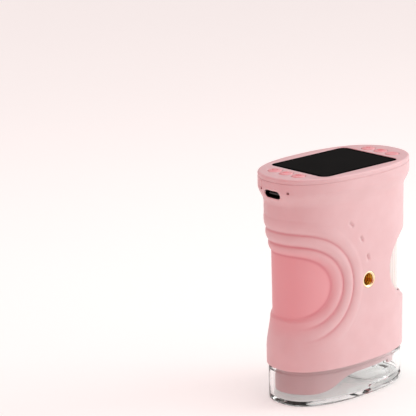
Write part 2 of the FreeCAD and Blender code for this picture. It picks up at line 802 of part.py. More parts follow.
def makeHead():
    """Bezel, window, display, buttons and everything on the main board."""
    keep(makeBezel(), "top_bezel")
    window = newBody("window_body")
    pad(window, roundedSketch(window, "window_outline", "window_length", "window_width", "window_corner",
                              "top_level - window_sink - window_thick"), "window_thick", "window_pad")
    keep(window, "screen_window")
    display = newBody("lcd_body")
    pad(display, roundedSketch(display, "lcd_outline", "window_length - 2 * lcd_margin",
                               "window_width - 2 * lcd_margin", "lcd_corner",
                               f"{flangeTop} - lcd_thick"), "lcd_thick", "lcd_pad")
    keep(display, "lcd_module")
    for name, x, y in buttonPlaces():
        makeButton(name, x, y)
    switchTop = f"({stemBottom} - button_travel - stem_gap)"
    switches = []
    for name, x, y in buttonPlaces():
        size = ("switch_length", "switch_width", f"{switchTop} - {boardTop} - dome_rise")
        base = centredBox(f"{name}_switch", size, (x, y), boardTop)
        dome = rod(f"{name}_dome", "dome_radius", "2 * dome_rise", (x, y, f"{switchTop} - 2 * dome_rise"))
        switches.append(fuse(f"{name}_tact", [base, dome]))
    keep(group("switch_group", switches), "tact_switches")

    board = newBody("board_body")
    pad(board, ovalSketch(board, "board_oval", f"({pocketOffset} - board_gap)", ledgeLevel),
        "board_thick", "board_pad")
    notch = box("usb_notch", ("usb_length + 2 * wall", "usb_width + 2 * fit_gap", "3 * board_thick"),
                ("-half_length - usb_recess - 2 * wall + run_gap", "-usb_width / 2 - fit_gap",
                 f"{ledgeLevel} - board_thick"))
    holes = [rod(f"board_hole_{index}", "screw_radius + fit_gap", "3 * board_thick",
                 (x, y, f"{ledgeLevel} - board_thick")) for index, (x, y) in enumerate(boardScrewPlaces)]
    keep(cut("board_cut", board, group("board_holes", [notch] + holes)), "main_board")

    # each chip's name, length, width, height and middle
    chipSizes = [("processor", "10", "10", "1.2", ("8", "0")), ("memory", "8", "6", "1", ("-20", "-4")),
                 ("charger", "3", "3", "0.8", ("-22", "6"))]
    chips = [centredBox(name, (length, width, height), middle, f"{ledgeLevel} - {height}")
             for name, length, width, height, middle in chipSizes]
    keep(group("chip_group", chips), "board_chips")
    screwLength = "board_thick + board_screw_length - screw_spare"
    screws = [makeScrew(f"board_screw_{index}", x, y, boardTop, screwLength, -1)
              for index, (x, y) in enumerate(boardScrewPlaces)]
    keep(group("board_screw_group", screws), "board_screws")
    makeUsb()
    # each small part's node, its length, width and height, and its place along and across
    smallParts = [("charge_led", ("1.6", "1.2", "1.1"), "-half_length + edge_margin", "pinhole_y"),
                  ("reset_switch", ("1.7", "2.4", "1.4"), "-half_length + edge_margin", "-pinhole_y"),
                  ("microphone", ("2.2", "3", "1.1"), "half_length - edge_margin - 2.2", "0")]
    for node, size, x, y in smallParts:
        keep(box(f"{node}_body", size, (x, f"({y}) - ({size[1]}) / 2", boardTop)), node)


def makeScrew(name, x, y, seat, length, down):
    """A round-headed screw: its head sits on a level, its shank runs up (1) or down (-1)."""
    headBottom = seat if down < 0 else f"({seat}) - screw_head_thick"
    shankBottom = f"({seat}) - ({length})" if down < 0 else f"({seat})"
    head = rod(f"{name}_head", "screw_head", "screw_head_thick", (x, y, headBottom))
    shank = rod(f"{name}_shank", "screw_radius", length, (x, y, shankBottom))
    slotBottom = f"({headBottom}) + screw_head_thick - screw_slot" if down < 0 else headBottom
    slot = box(f"{name}_slot", ("2 * screw_head", "screw_slot", "screw_slot"),
               (f"({x}) - screw_head", f"({y}) - screw_slot / 2", slotBottom))
    return cut(name, fuse(f"{name}_blank", [head, shank]), slot)


def makeUsb():
    """USB-C receptacle: a thin drawn shell with an insulating tongue inside."""
    mouth = "-half_length - usb_recess"
    outer = slotAlongX("usb_outer", "usb_width", "usb_height", usbLevel, mouth, "usb_length")
    inner = slotAlongX("usb_inner", "usb_width - 2 * usb_wall", "usb_height - 2 * usb_wall", usbLevel,
                       f"{mouth} - usb_wall", "usb_length")
    keep(cut("usb_shell", outer, inner), "usb_socket")
    tongue = box("tongue_blade", ("usb_length - 2 * tongue_sink", "tongue_width", "tongue_thick"),
                 (f"{mouth} + tongue_sink", "-tongue_width / 2", f"{usbLevel} - tongue_thick / 2"))
    baseWidth = "(usb_width - 2 * usb_wall - usb_height)"
    root = box("tongue_root", ("tongue_base", baseWidth, "usb_height - 2 * usb_wall"),
               (f"{mouth} + usb_length - usb_wall - tongue_base", f"-{baseWidth} / 2",
                f"{usbLevel} - usb_height / 2 + usb_wall"))
    keep(fuse("tongue", [tongue, root]), "usb_tongue")


def makeBattery():
    x = "-battery_x - battery_thick / 2"
    bottom = f"{shelfTop} + foam_thick"
    keep(box("foam_block", ("battery_thick", batteryWidth, "foam_thick"),
             (x, f"-{batteryWidth} / 2", shelfTop)), "battery_foam")
    cell = newBody("cell_body")
    outline = roundedSketch(cell, "cell_outline", "battery_thick", batteryWidth,
                            "battery_corner", bottom)
    pad(cell, outline, "battery_height", "cell_pad")
    keep(place(cell, "-battery_x"), "battery")
    top = f"{bottom} + battery_height"
    leads = [rod(f"battery_lead_{side + 1}", "lead_radius", f"{ledgeLevel} - ({top})",
                 ("-battery_x", f"{side} * cell_lead_pitch / 2", top)) for side in (-1, 1)]
    keep(group("battery_lead_pair", leads), "battery_leads")


def makeInserts():
    """Two brass threaded inserts, one in each broad face, with a lead-in chamfer."""
    for side, label, turn in ((-1, "front", alongPlusY), (1, "rear", alongMinusY)):
        body = newBody(f"insert_{label}")
        corners = [("insert_bore + insert_chamfer", "0"), ("insert_radius", "0"),
                   ("insert_radius", "insert_length"), ("insert_bore", "insert_length"),
                   ("insert_bore", "insert_chamfer")]
        turned(body, corners, f"insert_turn_{label}")
        place(body, "insert_x", f"{side} * {insertFace}", "insert_level", turn=turn)
        keep(body, f"tripod_insert_{label}")


def makeColumn():
    """Upright tube that the wheel turns on and the lens carriage slides in."""
    body = newBody("column_turned")
    corners = [
        ("column_bore", webBottom),
        (footPlug, webBottom),
        (footPlug, floorTop),
        ("foot_radius", floorTop),
        ("foot_radius", f"{floorTop} + foot_height"),
        ("column_radius", f"{floorTop} + foot_height"),
        ("column_radius", f"{wheelBottom} - side_play - shoulder_thick"),
        ("shoulder_radius", f"{wheelBottom} - side_play - shoulder_thick"),
        ("shoulder_radius", f"{wheelBottom} - side_play"),
        ("column_radius", f"{wheelBottom} - side_play"),
        ("column_radius", "column_top"),
        ("column_bore", "column_top"),
    ]
    turned(body, corners, "column_turn")
    place(body, "axis_x")
    slot = box("pin_slot_block", ("2 * column_radius", "2 * (pin_radius + fit_gap)",
                                  f"{focusTravel} + 2 * pin_radius + 4 * groove_gap"),
               ("0", "-(pin_radius + fit_gap)", "pin_level - pin_radius - 2 * groove_gap"))
    slotTurned = group("pin_slot", [slot])
    place(slotTurned, "axis_x", turn=Rotation(Vector(0, 0, 1), 0))
    bind(slotTurned, "Placement.Rotation.Angle", "-thread_overrun")
    leadsWidth = "(4 * lead_radius + lead_pitch)"
    notch = box("lead_notch_block", ("foot_radius", leadsWidth, "lead_notch"),
                ("axis_x - foot_radius - foot_lip", f"-{leadsWidth} / 2", f"{floorTop} + diffuser_thick"))
    keep(cut("column_cut", body, group("column_cuts", [slotTurned, notch])), "optics_column")

    ring = newBody("retainer_body")
    low = f"({wheelTop} + side_play)"
    high = f"({low} + retainer_thick)"
    turned(ring, [("column_radius", low), ("shoulder_radius", low), ("shoulder_radius", high),
                  ("column_radius", high)], "retainer_turn")
    keep(place(ring, "axis_x"), "wheel_retainer")


def makeWheel():
    """Ribbed focus wheel with a helical groove inside that lifts the carriage's pin."""
    body = newBody("wheel_body")
    bore = "column_radius + run_gap"
    corners = [
        (bore, wheelBottom), ("wheel_radius - wheel_round", wheelBottom),
        ("wheel_radius", f"{wheelBottom} + wheel_round"), ("wheel_radius", f"{wheelTop} - wheel_round"),
        ("wheel_radius - wheel_round", wheelTop), (bore, wheelTop),
    ]
    turned(body, corners, "wheel_turn")
    grooveLow = "pin_level - thread_pitch * thread_overrun / 360 - pin_radius - groove_gap"
    grooveHigh = "pin_level - thread_pitch * thread_overrun / 360 + pin_radius + groove_gap"
    inner = "column_radius - pin_radius"
    outer = "column_radius + pin_reach + groove_gap"
    profile = polygonSketch(body, "groove_profile", [(inner, grooveLow), (outer, grooveLow),
                                                     (outer, grooveHigh), (inner, grooveHigh)])
    groove = body.newObject("PartDesign::SubtractiveHelix", "focus_groove")
    groove.Profile = profile
    groove.ReferenceAxis = (profile, ["V_Axis"])
    groove.Mode = "pitch-height-angle"
    bind(groove, "Pitch", "thread_pitch")
    bind(groove, "Height", "thread_pitch * (focus_turn + 2 * thread_overrun) / 360")
    groove.LeftHanded = True
    doc.recompute()
    knurl = pocket(body, circleSketch(body, "knurl", "knurl_radius", "wheel_radius + knurl_shift",
                                      wheelTop), "wheel_height", "knurl_groove")
    pattern = body.newObject("PartDesign::PolarPattern", "knurl_ring")
    pattern.Originals = [knurl]
    pattern.Axis = (originPlane(body, "Z_Axis"), [""])
    pattern.Angle = 360
    bind(pattern, "Occurrences", "knurl_count")
    body.Tip = pattern
    keep(place(body, "axis_x"), "focus_wheel")


def lensSolid(name, radius, middle, edge, crown, label):
    """A lens with two domed faces: a disc between two spherical caps."""
    up = f"({middle}) + ({edge}) / 2"
    down = f"({middle}) - ({edge}) / 2"
    ball = f"((({radius})^2 + ({crown})^2) / (2 * ({crown})))"
    disc = rod(f"{name}_disc", radius, f"({edge}) + 2 * ({crown})",
               ("axis_x", "0", f"({down}) - ({crown})"))
    spheres = []
    for index, z in enumerate((f"({up}) + ({crown}) - {ball}", f"({down}) - ({crown}) + {ball}")):
        sphere = add("Part::Sphere", f"{name}_ball_{index}")
        bind(sphere, "Radius", ball)
        place(sphere, "axis_x", "0", z)
        spheres.append(sphere)
    trimmed = common(f"{name}_a", disc, spheres[0])
    return keep(common(f"{name}_b", trimmed, spheres[1]), label)


def makeCarriage():
    """Sliding lens barrel with its pin, two lenses and their retaining ring."""
    body = newBody("carriage_body")
    sleeve = "column_bore - run_gap"
    frontSeat = "snout_bottom + front_seat"
    rearSeat = "carriage_bottom + rear_seat"
    corners = [
        ("front_lens_radius + run_gap", "snout_bottom"), ("snout_radius", "snout_bottom"),
        ("snout_radius", "carriage_bottom - barrel_slope"), (sleeve, "carriage_bottom"),
        (sleeve, "carriage_top"),
        ("rear_lens_radius + run_gap", "carriage_top"), ("rear_lens_radius + run_gap", rearSeat),
        ("light_bore", rearSeat), ("light_bore", frontSeat), ("front_lens_radius + run_gap", frontSeat),
    ]
    turned(body, corners, "carriage_turn")
    place(body, "axis_x")
    pinStart = "column_bore - run_gap - pin_hold"
    pinTurn = Rotation(Vector(0, 0, 1), -measure("thread_overrun")).multiply(alongPlusX)
    reach = "column_radius + pin_reach - column_bore + run_gap + pin_hold"
    pinX = f"axis_x + ({pinStart}) * cos(thread_overrun)"
    pinY = f"-({pinStart}) * sin(thread_overrun)"
    hole = rod("pin_hole", "pin_radius", reach, (pinX, pinY, "pin_level"), turn=pinTurn)
    pin = rod("pin_rod", "pin_radius", reach, (pinX, pinY, "pin_level"), turn=pinTurn)
    keep(cut("carriage_cut", body, hole), "lens_carriage")
    keep(pin, "guide_pin")
    lensSolid("front_glass", "front_lens_radius", f"{frontSeat} - front_lens_edge / 2 - front_lens_crown",
              "front_lens_edge", "front_lens_crown", "front_lens")
    lensSolid("rear_glass", "rear_lens_radius", f"{rearSeat} + rear_lens_edge / 2 + rear_lens_crown",
              "rear_lens_edge", "rear_lens_crown", "rear_lens")
    ring = newBody("ring_body")
    inner, outer = "front_lens_radius - ring_width", "front_lens_radius + run_gap"
    turned(ring, [(inner, "snout_bottom"), (outer, "snout_bottom"), (outer, "snout_bottom + ring_thick"),
                  (inner, "snout_bottom + ring_thick")], "ring_turn")
    keep(place(ring, "axis_x"), "lens_ring")


def makeSensor():
    """Sensor holder, board, chip, screws and the ribbon to the main board."""
    holder = newBody("holder_body")
    roof = "(column_top + roof_thick)"
    skirt = f"({roof} - holder_height)"
    turned(holder, [("column_radius", skirt), ("holder_radius", skirt), ("holder_radius", roof),
                    ("column_bore", roof), ("column_bore", "column_top"),
                    ("column_radius", "column_top")], "holder_turn")
    place(holder, "axis_x")
    out = "((column_bore + holder_radius) / 2 * cos(45))"
    places = [(f"axis_x + {side} * {out}", f"{side} * {out}") for side in (-1, 1)]
    pilotDepth = "(small_screw_depth + fit_gap)"
    pilots = [rod(f"sensor_pilot_{index}", "small_screw_radius", pilotDepth, (x, y, f"{roof} - {pilotDepth}"))
              for index, (x, y) in enumerate(places)]
    keep(cut("holder_cut", holder, group("sensor_pilots", pilots)), "sensor_holder")
    plate = centredBox("sensor_plate", ("2 * column_radius", "2 * column_radius", "sensor_board_thick"),
                       ("axis_x", "0"), roof)
    holes = [rod(f"sensor_hole_{index}", "small_screw_radius + fit_gap", "3 * sensor_board_thick",
                 (x, y, f"{roof} - sensor_board_thick")) for index, (x, y) in enumerate(places)]
    keep(cut("sensor_board_cut", plate, group("sensor_holes", holes)), "sensor_board")
    keep(centredBox("sensor_chip", ("sensor_side", "sensor_side", "sensor_thick"), ("axis_x", "0"),
                    f"{roof} - sensor_thick"), "image_sensor")
    screws = []
    for index, (x, y) in enumerate(places):
        head = rod(f"sensor_screw_head_{index}", "small_screw_head", "small_screw_head_thick",
                   (x, y, f"{roof} + sensor_board_thick"))
        shank = rod(f"sensor_screw_shank_{index}", "small_screw_radius",
                    "small_screw_depth + sensor_board_thick", (x, y, f"{roof} - small_screw_depth"))
        screws.append(fuse(f"sensor_screw_{index}", [head, shank]))
    keep(group("sensor_screw_group", screws), "sensor_screws")
    ribbonBottom = f"({roof} + sensor_board_thick)"
    keep(centredBox("ribbon_strip", ("ribbon_thick", "ribbon_width", f"{ledgeLevel} - {ribbonBottom}"),
                    ("axis_x + ribbon_shift", "0"), ribbonBottom), "sensor_ribbon")


def makeLight():
    """Ring board with its LEDs, the frosted ring below them and the two leads to the main board."""
    board = newBody("light_body")
    low = f"{webBottom} - light_thick"
    rim = f"({footPlug} - fit_gap)"
    turned(board, [("light_hole", low), (rim, low), (rim, webBottom), ("light_hole", webBottom)],
           "light_turn")
    keep(place(board, "axis_x"), "led_board")
    leds = []
    ledCircle = f"((light_hole + {footPlug}) / 2)"
    for index in range(int(measure("led_count"))):
        angle = f"(360 / led_count * ({index} + 0.5))"
        leds.append(centredBox(f"led_{index}", ("led_side", "led_side", "led_thick"),
                               (f"(axis_x + {ledCircle} * cos({angle}))", f"({ledCircle} * sin({angle}))"),
                               f"{low} - led_thick"))
    keep(group("led_group", leds), "leds")
    ring = newBody("diffuser_body")
    low, high = "(shroud_high + fit_gap)", f"({floorTop} + diffuser_thick)"
    turned(ring, [("light_hole", low), ("diffuser_radius", low), ("diffuser_radius", floorTop),
                  (rim, floorTop), (rim, high), ("light_hole", high)], "diffuser_turn")
    keep(place(ring, "axis_x"), "led_diffuser")
    makeLightLeads(f"({webBottom} - light_thick)")


def makeLightLeads(level):
    """Two insulated leads: out of the column's foot, round one bend and up to the main board."""
    radius = measure("lead_radius")
    x = measure("lead_x")
    bend = measure("lead_bend")
    startX = measure("axis_x - foot_radius + lead_tuck")
    low = measure(f"{level} - lead_radius")
    top = measure(ledgeLevel)
    leads = []
    for side in (-1, 1):
        y = side * measure("lead_pitch") / 2
        start = Vector(startX, y, low)
        first = Vector(x + bend, y, low)
        corner = Vector(x + bend, y, low + bend)
        last = Vector(x, y, low + bend)
        middle = corner + (Vector(x, y, low) - corner).normalize() * bend
        path = Part.Wire([Part.LineSegment(start, first).toShape(), Part.Arc(first, middle, last).toShape(),
                          Part.LineSegment(last, Vector(x, y, top)).toShape()])
        section = Part.Wire(Part.Circle(start, Vector(-1, 0, 0), radius).toShape())
        leads.append(path.makePipeShell([section], True, False))
    item = add("Part::Feature", "led_lead_pair")
    item.Shape = Part.makeCompound(leads)
    item.Placement = Placement()
    keep(item, "led_leads")


def rampBlock(name, lift, above):
    """Everything above (or below) the shroud's S-shaped floor line, raised by a lift."""
    startX, endX = measure("ramp_start"), measure("ramp_end")
    low, high = measure(f"shroud_low + {lift}"), measure(f"shroud_high + {lift}")
    far = measure("2 * half_length")
    limit = measure("2 * shroud_top") if above else -far
    depth = measure("2 * half_width")
    middle = Vector((startX + endX) / 2, 0, (low + high) / 2)
    run, rise = (endX - startX) / 2, (high - low) / 2
    bendRadius = (run * run + rise * rise) / (2 * rise)
    start, end = Vector(startX, 0, low), Vector(endX, 0, high)

    def onArc(centreZ, share, sign):
        x = share * run
        return Vector(0, 0, centreZ) + Vector(x, 0, sign * (bendRadius ** 2 - x ** 2) ** 0.5)

    lowMid = onArc(low + bendRadius, 0.5, -1) + Vector(startX, 0, 0)
    highMid = onArc(high - bendRadius, -0.5, 1) + Vector(endX, 0, 0)
    corners = [Vector(-far, 0, low), Vector(-far, 0, limit), Vector(far, 0, limit), Vector(far, 0, high)]
    edges = [
        Part.Arc(start, lowMid, middle).toShape(),
        Part.Arc(middle, highMid, end).toShape(),
        Part.LineSegment(end, corners[3]).toShape(),
        Part.LineSegment(corners[3], corners[2]).toShape(),
        Part.LineSegment(corners[2], corners[1]).toShape(),
        Part.LineSegment(corners[1], corners[0]).toShape(),
        Part.LineSegment(corners[0], start).toShape(),
    ]
    face = Part.Face(Part.Wire(edges))
    face.translate(Vector(0, -depth, 0))
    item = add("Part::Feature", name)
    item.Shape = face.extrude(Vector(0, 2 * depth, 0))
    item.Placement = Placement()
    return item


def makeShroud():
    """Pink tub that closes the sleeve: deep at the grip end, raised over the specimen."""
    tub = ovalPrism("tub", "(-shroud_inset)", "shroud_low", "shroud_top - shroud_low")
    flange = ovalPrism("tub_flange", "(-wall - 2 * fit_gap)", "flange_low", "shroud_top - flange_low")
    outer = cut("tub_outer", fuse("tub_solid", [tub, flange]), rampBlock("under_ramp", "0", False))
    room = common("tub_room", ovalPrism("tub_inside", "(-shroud_inset - shroud_wall)", "shroud_low",
                                        "2 * shroud_top"), rampBlock("over_ramp", "shroud_wall", True))
    postRods = [rod(f"post_{index}", "boss_radius + post_margin", "shroud_top - shroud_low",
                    (x, y, "shroud_low")) for index, (x, y) in enumerate(shroudScrewPlaces)]
    posts = common("tub_posts", group("post_rods", postRods), rampBlock("post_ramp", "shroud_wall / 2", True))
    lugs = []
    for side in (-1, 1):
        y = "-half_width" if side < 0 else "half_width - end_radius / 2"
        lugs.append(box(f"lug_{side + 1}", ("lug_width", "end_radius / 2", "lug_drop + shroud_wall"),
                        ("lug_x - lug_width / 2", y, "shroud_high - lug_drop")))
    lugRing = cut("lug_ring", ovalPrism("lug_skin", "(-shroud_inset)", "0", "shroud_top"),
                  ovalPrism("lug_room", "(-shroud_inset - lug_thick)", "-1", "2 * shroud_top"))
    lugSet = common("tub_lugs", group("lug_blocks", lugs), lugRing)
    holes = [rod("light_opening", "diffuser_radius + fit_gap", "3 * shroud_wall",
                 ("axis_x", "0", "shroud_high - shroud_wall"))]
    for index, (x, y) in enumerate(shroudScrewPlaces):
        holes.append(rod(f"counterbore_{index}", "screw_head + fit_gap", "shroud_top - screw_seat",
                         (x, y, "0")))
        holes.append(rod(f"clearance_{index}", "screw_radius + fit_gap", "2 * shroud_top", (x, y, "0")))
    solid = fuse("shroud_solid", [cut("tub_open", outer, room), posts, lugSet])
    keep(cut("shroud_cut", solid, group("shroud_holes", holes)), "lens_shroud")
    screws = [makeScrew(f"shroud_screw_{index}", x, y, "shroud_top - screw_seat", "shroud_screw_length", 1)
              for index, (x, y) in enumerate(shroudScrewPlaces)]
    keep(group("shroud_screw_group", screws), "shroud_screws")


def makeFoot():
    """Clear foot: an oval cup whose spigot plugs into the sleeve, open for a glass slide."""
    wallTop = "(body_bottom - foot_gap)"
    body = newBody("foot_body")
    block = pad(body, ovalSketch(body, "foot_oval", "(-foot_inset)", "0"), wallTop, "foot_pad")
    roundEdges(body, block, "foot_round", "0", "foot_rounding")
    pad(body, ovalSketch(body, "spigot_oval", "(-spigot_inset)", wallTop), f"spigot_top - {wallTop}",
        "spigot")
    pocket(body, ovalSketch(body, "spigot_bore", "(-spigot_inset - spigot_wall)", "spigot_top"),
           "spigot_top - foot_floor", "spigot_pocket")
    pocket(body, ovalSketch(body, "foot_room", "(-foot_inset - foot_wall)", f"{wallTop} - foot_floor"),
           f"{wallTop} - 2 * foot_floor", "foot_pocket")
    cuts = [box("slide_slot", ("2 * half_length", "4 * half_width", "slide_height"),
                ("slide_start", "-2 * half_width", "foot_floor")),
            rod("view_hole", "view_radius", "2 * foot_floor", ("axis_x", "0", "-foot_floor / 2"))]
    keep(cut("foot_cut", body, group("foot_cuts", cuts)), "clear_base")


keep(makeBodyShell(), "body_shell")
makeHead()
makeBattery()
makeInserts()
makeColumn()
makeWheel()
makeCarriage()
makeSensor()
makeLight()
makeShroud()
makeFoot()
doc.recompute()

faults = [f"{item.Label}: {', '.join(item.State)}" for item in doc.Objects
          if "Invalid" in item.State or "Error" in item.State]
for item in nodes:
    shape = item.Shape
    if shape.isNull() or not shape.isValid() or not shape.Solids:
        faults.append(f"{item.Label}: bad shape")
if faults:
    raise RuntimeError("; ".join(faults))

os.makedirs("parts", exist_ok=True)
for item in nodes:
    item.Shape.exportStep(f"parts/{item.Label}.step")
    print(f"{item.Label}: {len(item.Shape.Solids)} solid(s), {item.Shape.Volume:.1f} mm3")
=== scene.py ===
import math
import bpy
import numpy as np
from mathutils import Matrix, Vector


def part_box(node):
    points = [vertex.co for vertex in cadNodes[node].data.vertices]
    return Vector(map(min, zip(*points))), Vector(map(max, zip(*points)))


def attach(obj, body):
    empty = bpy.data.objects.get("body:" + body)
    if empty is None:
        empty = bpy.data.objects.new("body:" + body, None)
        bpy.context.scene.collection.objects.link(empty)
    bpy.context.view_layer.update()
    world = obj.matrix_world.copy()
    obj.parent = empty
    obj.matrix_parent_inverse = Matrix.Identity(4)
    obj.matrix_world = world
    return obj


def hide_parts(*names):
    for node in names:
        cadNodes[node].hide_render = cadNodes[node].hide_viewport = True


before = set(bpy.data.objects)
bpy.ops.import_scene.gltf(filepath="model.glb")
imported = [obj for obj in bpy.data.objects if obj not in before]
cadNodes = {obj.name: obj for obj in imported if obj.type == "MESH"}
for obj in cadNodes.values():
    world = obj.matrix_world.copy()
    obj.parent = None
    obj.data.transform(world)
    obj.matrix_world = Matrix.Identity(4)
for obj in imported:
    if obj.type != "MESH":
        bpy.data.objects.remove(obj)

# Kids microscope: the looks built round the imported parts. Sizes are in millimetres and turn to
# metres in newPiece; +X is the focus wheel end, -Y the front, +Z up.

scene = bpy.context.scene
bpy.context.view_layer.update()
mm = 0.001


def boxMm(node):
    low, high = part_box(node)
    return np.array(low) / mm, np.array(high) / mm


# ---- mesh helpers

def gridFaces(rows, columns, closeRows=False, closeColumns=True):
    r, c = np.meshgrid(np.arange(rows if closeRows else rows - 1),
                       np.arange(columns if closeColumns else columns - 1), indexing="ij")
    nextR = (r + 1) % rows
    nextC = (c + 1) % columns
    quads = [r * columns + c, r * columns + nextC, nextR * columns + nextC, nextR * columns + c]
    return np.stack(quads, axis=-1).reshape(-1, 4)


def newPiece(name, points, faces):
    mesh = bpy.data.meshes.new(name)
    mesh.from_pydata((np.asarray(points).reshape(-1, 3) * mm).tolist(), [], np.asarray(faces).tolist())
    mesh.update()
    piece = bpy.data.objects.new(name, mesh)
    scene.collection.objects.link(piece)
    return piece


def gridPiece(name, points, closeRows=False, closeColumns=True):
    rows, columns = points.shape[:2]
    piece = newPiece(name, points, gridFaces(rows, columns, closeRows, closeColumns))
    closeSeams(piece)
    return piece


def closeSeams(piece):
    # rows that shrink to a point become one vertex
    before = bpy.context.view_layer.objects.active
    bpy.context.view_layer.objects.active = piece
    weld = piece.modifiers.new("weld", "WELD")
    weld.merge_threshold = 0.002 * mm
    bakeModifiers(piece)
    bpy.context.view_layer.objects.active = before


def bakeModifiers(piece):
    graph = bpy.context.evaluated_depsgraph_get()
    baked = bpy.data.meshes.new_from_object(piece.evaluated_get(graph))
    piece.modifiers.clear()
    old = piece.data
    piece.data = baked
    baked.name = piece.name
    bpy.data.meshes.remove(old)


def smooth(piece, degrees=32):
    mesh = piece.data
    mesh.polygons.foreach_set("use_smooth", np.ones(len(mesh.polygons), dtype=bool))
    mesh.set_sharp_from_angle(angle=math.radians(degrees))
    return piece


def joinPieces(name, pieces):
    points = []
    faces = []
    start = 0
    for piece in pieces:
        mesh = piece.data
        co = np.zeros(len(mesh.vertices) * 3)
        mesh.vertices.foreach_get("co", co)
        points.append(co.reshape(-1, 3) / mm)
        faces += [[start + v for v in face.vertices] for face in mesh.polygons]
        start += len(mesh.vertices)
        bpy.data.objects.remove(piece)
        bpy.data.meshes.remove(mesh)
    mesh = bpy.data.meshes.new(name)
    mesh.from_pydata((np.concatenate(points) * mm).tolist(), [], faces)
    joined = bpy.data.objects.new(name, mesh)
    scene.collection.objects.link(joined)
    return joined


def cutAway(piece, cutters):
    tool = joinPieces(piece.name + "_cutter", cutters)
    cut = piece.modifiers.new("cut", "BOOLEAN")
    cut.operation = "DIFFERENCE"
    cut.solver = "EXACT"
    cut.object = tool
    bakeModifiers(piece)
    mesh = tool.data
    bpy.data.objects.remove(tool)
    bpy.data.meshes.remove(mesh)
    return piece


def vertexPlaces(piece):
    co = np.zeros(len(piece.data.vertices) * 3)
    piece.data.vertices.foreach_get("co", co)
    return co.reshape(-1, 3) / mm


def setAttribute(piece, name, values):
    layer = piece.data.attributes.new(name, "FLOAT", "POINT")
    layer.data.foreach_set("value", np.asarray(values, dtype=np.float32))


def smoothStep(u):
    u = np.clip(u, 0.0, 1.0)
    return u * u * (3 - 2 * u)


# ---- the oval that every outer piece follows

oval = {
    "halfLength": 34.55,
    "halfWidth": 19.15,
    "power": 2.4,         # 2 is an ellipse, more is squarer
    "columns": 380,
}


# superellipse: x is a times cos t to the power 2/n and y is b times sin t to the power 2/n, each
# with its sign, then spaced evenly by arc length; returns points and outward normals
def ovalLoop(columns):
    t = np.linspace(0, 2 * np.pi, 20001)
    power = 2 / oval["power"]
    x = oval["halfLength"] * np.sign(np.cos(t)) * np.abs(np.cos(t)) ** power
    y = oval["halfWidth"] * np.sign(np.sin(t)) * np.abs(np.sin(t)) ** power
    length = np.concatenate([[0], np.cumsum(np.hypot(np.diff(x), np.diff(y)))])
    wanted = np.linspace(0, length[-1], columns, endpoint=False)
    points = np.stack([np.interp(wanted, length, x), np.interp(wanted, length, y)], axis=-1)
    along = np.roll(points, -1, axis=0) - np.roll(points, 1, axis=0)
    normals = np.stack([along[:, 1], -along[:, 0]], axis=-1)
    normals /= np.linalg.norm(normals, axis=1, keepdims=True)
    return points, normals


# one ring of the oval per row, moved out by offset (a number or an array per column) at height z
def ovalRow(loop, offset, z):
    points, normals = loop
    flat = points + normals * np.reshape(offset, (-1, 1))
    return np.column_stack([flat, np.broadcast_to(z, len(flat))])


# a ring shrunk towards the origin, for floors and lids that close at a pole
def shrunkRow(row, share, z):
    return np.column_stack([row[:, :2] * share, np.broadcast_to(z, len(row))])


# ---- cutters, all closed

# stadium or circle: a lathe or a slot carried straight along one axis
def prismCutter(outline, axis, start, end):
    # outline: n x 2; axis 0 is X, 1 is Y, 2 is Z
    middle = np.tile(outline.mean(axis=0), (len(outline), 1))
    rows = [middle, outline, outline, middle]
    places = [start, start, end, end]
    grid = np.zeros((len(rows), len(outline), 3))
    others = [i for i in range(3) if i != axis]
    for index, (row, place) in enumerate(zip(rows, places)):
        grid[index, :, others[0]] = row[:, 0]
        grid[index, :, others[1]] = row[:, 1]
        grid[index, :, axis] = place
    if (axis == 1) == (end > start):
        grid = grid[:, ::-1]
    return gridPiece("cutter", grid)


def circleOutline(x, y, radius, count=48, stretch=1.0):
    t = np.linspace(0, 2 * np.pi, count, endpoint=False)
    return np.stack([x + radius * np.cos(t), y + radius * stretch * np.sin(t)], axis=-1)


# rectangle with round corners, as the point where the ray at each angle leaves it
def roundedOutline(halfX, halfY, corner, angles):
    c, s = np.abs(np.cos(angles)) + 1e-9, np.abs(np.sin(angles)) + 1e-9
    side = halfX / c
    end = halfY / s
    kx, ky = halfX - corner, halfY - corner
    dot = c * kx + s * ky
    round_ = dot + np.sqrt(np.maximum(dot ** 2 - (kx ** 2 + ky ** 2 - corner ** 2), 0))
    reach = np.where(side * s <= ky, side, np.where(end * c <= kx, end, round_))
    return np.stack([reach * np.cos(angles), reach * np.sin(angles)], axis=-1)


# ---- sleeve: the pink body with its grip rings, wheel window and holes

sleeve = {
    "bottom": boxMm("body_shell")[0][2],
    "seam": boxMm("body_shell")[1][2],
    "lipStart": 87.2,
    "lipFull": 94.6,
    "draft": 0.5,
    "overhang": 2.4,
    "wall": 1.9,
    "headWall": 2.1,
    "ledge": 92.4,
    "rowStep": 0.45,
}
grip = {
    "centreX": -34.05,
    "centreZ": 52.2,
    "heights": (13.8, 18.4, 23.9, 29.8),        # half heights of the floor, two creases and the outer edge
    "stretches": (1.22, 1.2, 1.12, 1.06),       # how much longer than high each one is
    "depths": (2.8, 1.85, 0.85, 0.0),           # depth under the skin at each one
    "dips": (0.42, 0.42, 0.2),                 # how far each ring rolls down into the next crease
    "fadeFrom": -48,          # degrees: below this the creases melt away
    "fadeTo": -84,
    "shadeWidth": 0.55,       # painted shade: the pink is darkened this close to a crease
}
ticks = {
    "radius": 36.0,
    "angles": (16, 31, 46),
    "halfLength": 0.8,
    "spread": 0.62,
    "depth": 0.75,
}
window = {
    "x": 33.0,
    "z": 53.2,
    "halfLength": 16.3,
    "halfHeight": 14.2,
    "rimWidth": 1.7,
    "rimDepth": 1.35,
}
socketLow, socketHigh = boxMm("usb_socket")
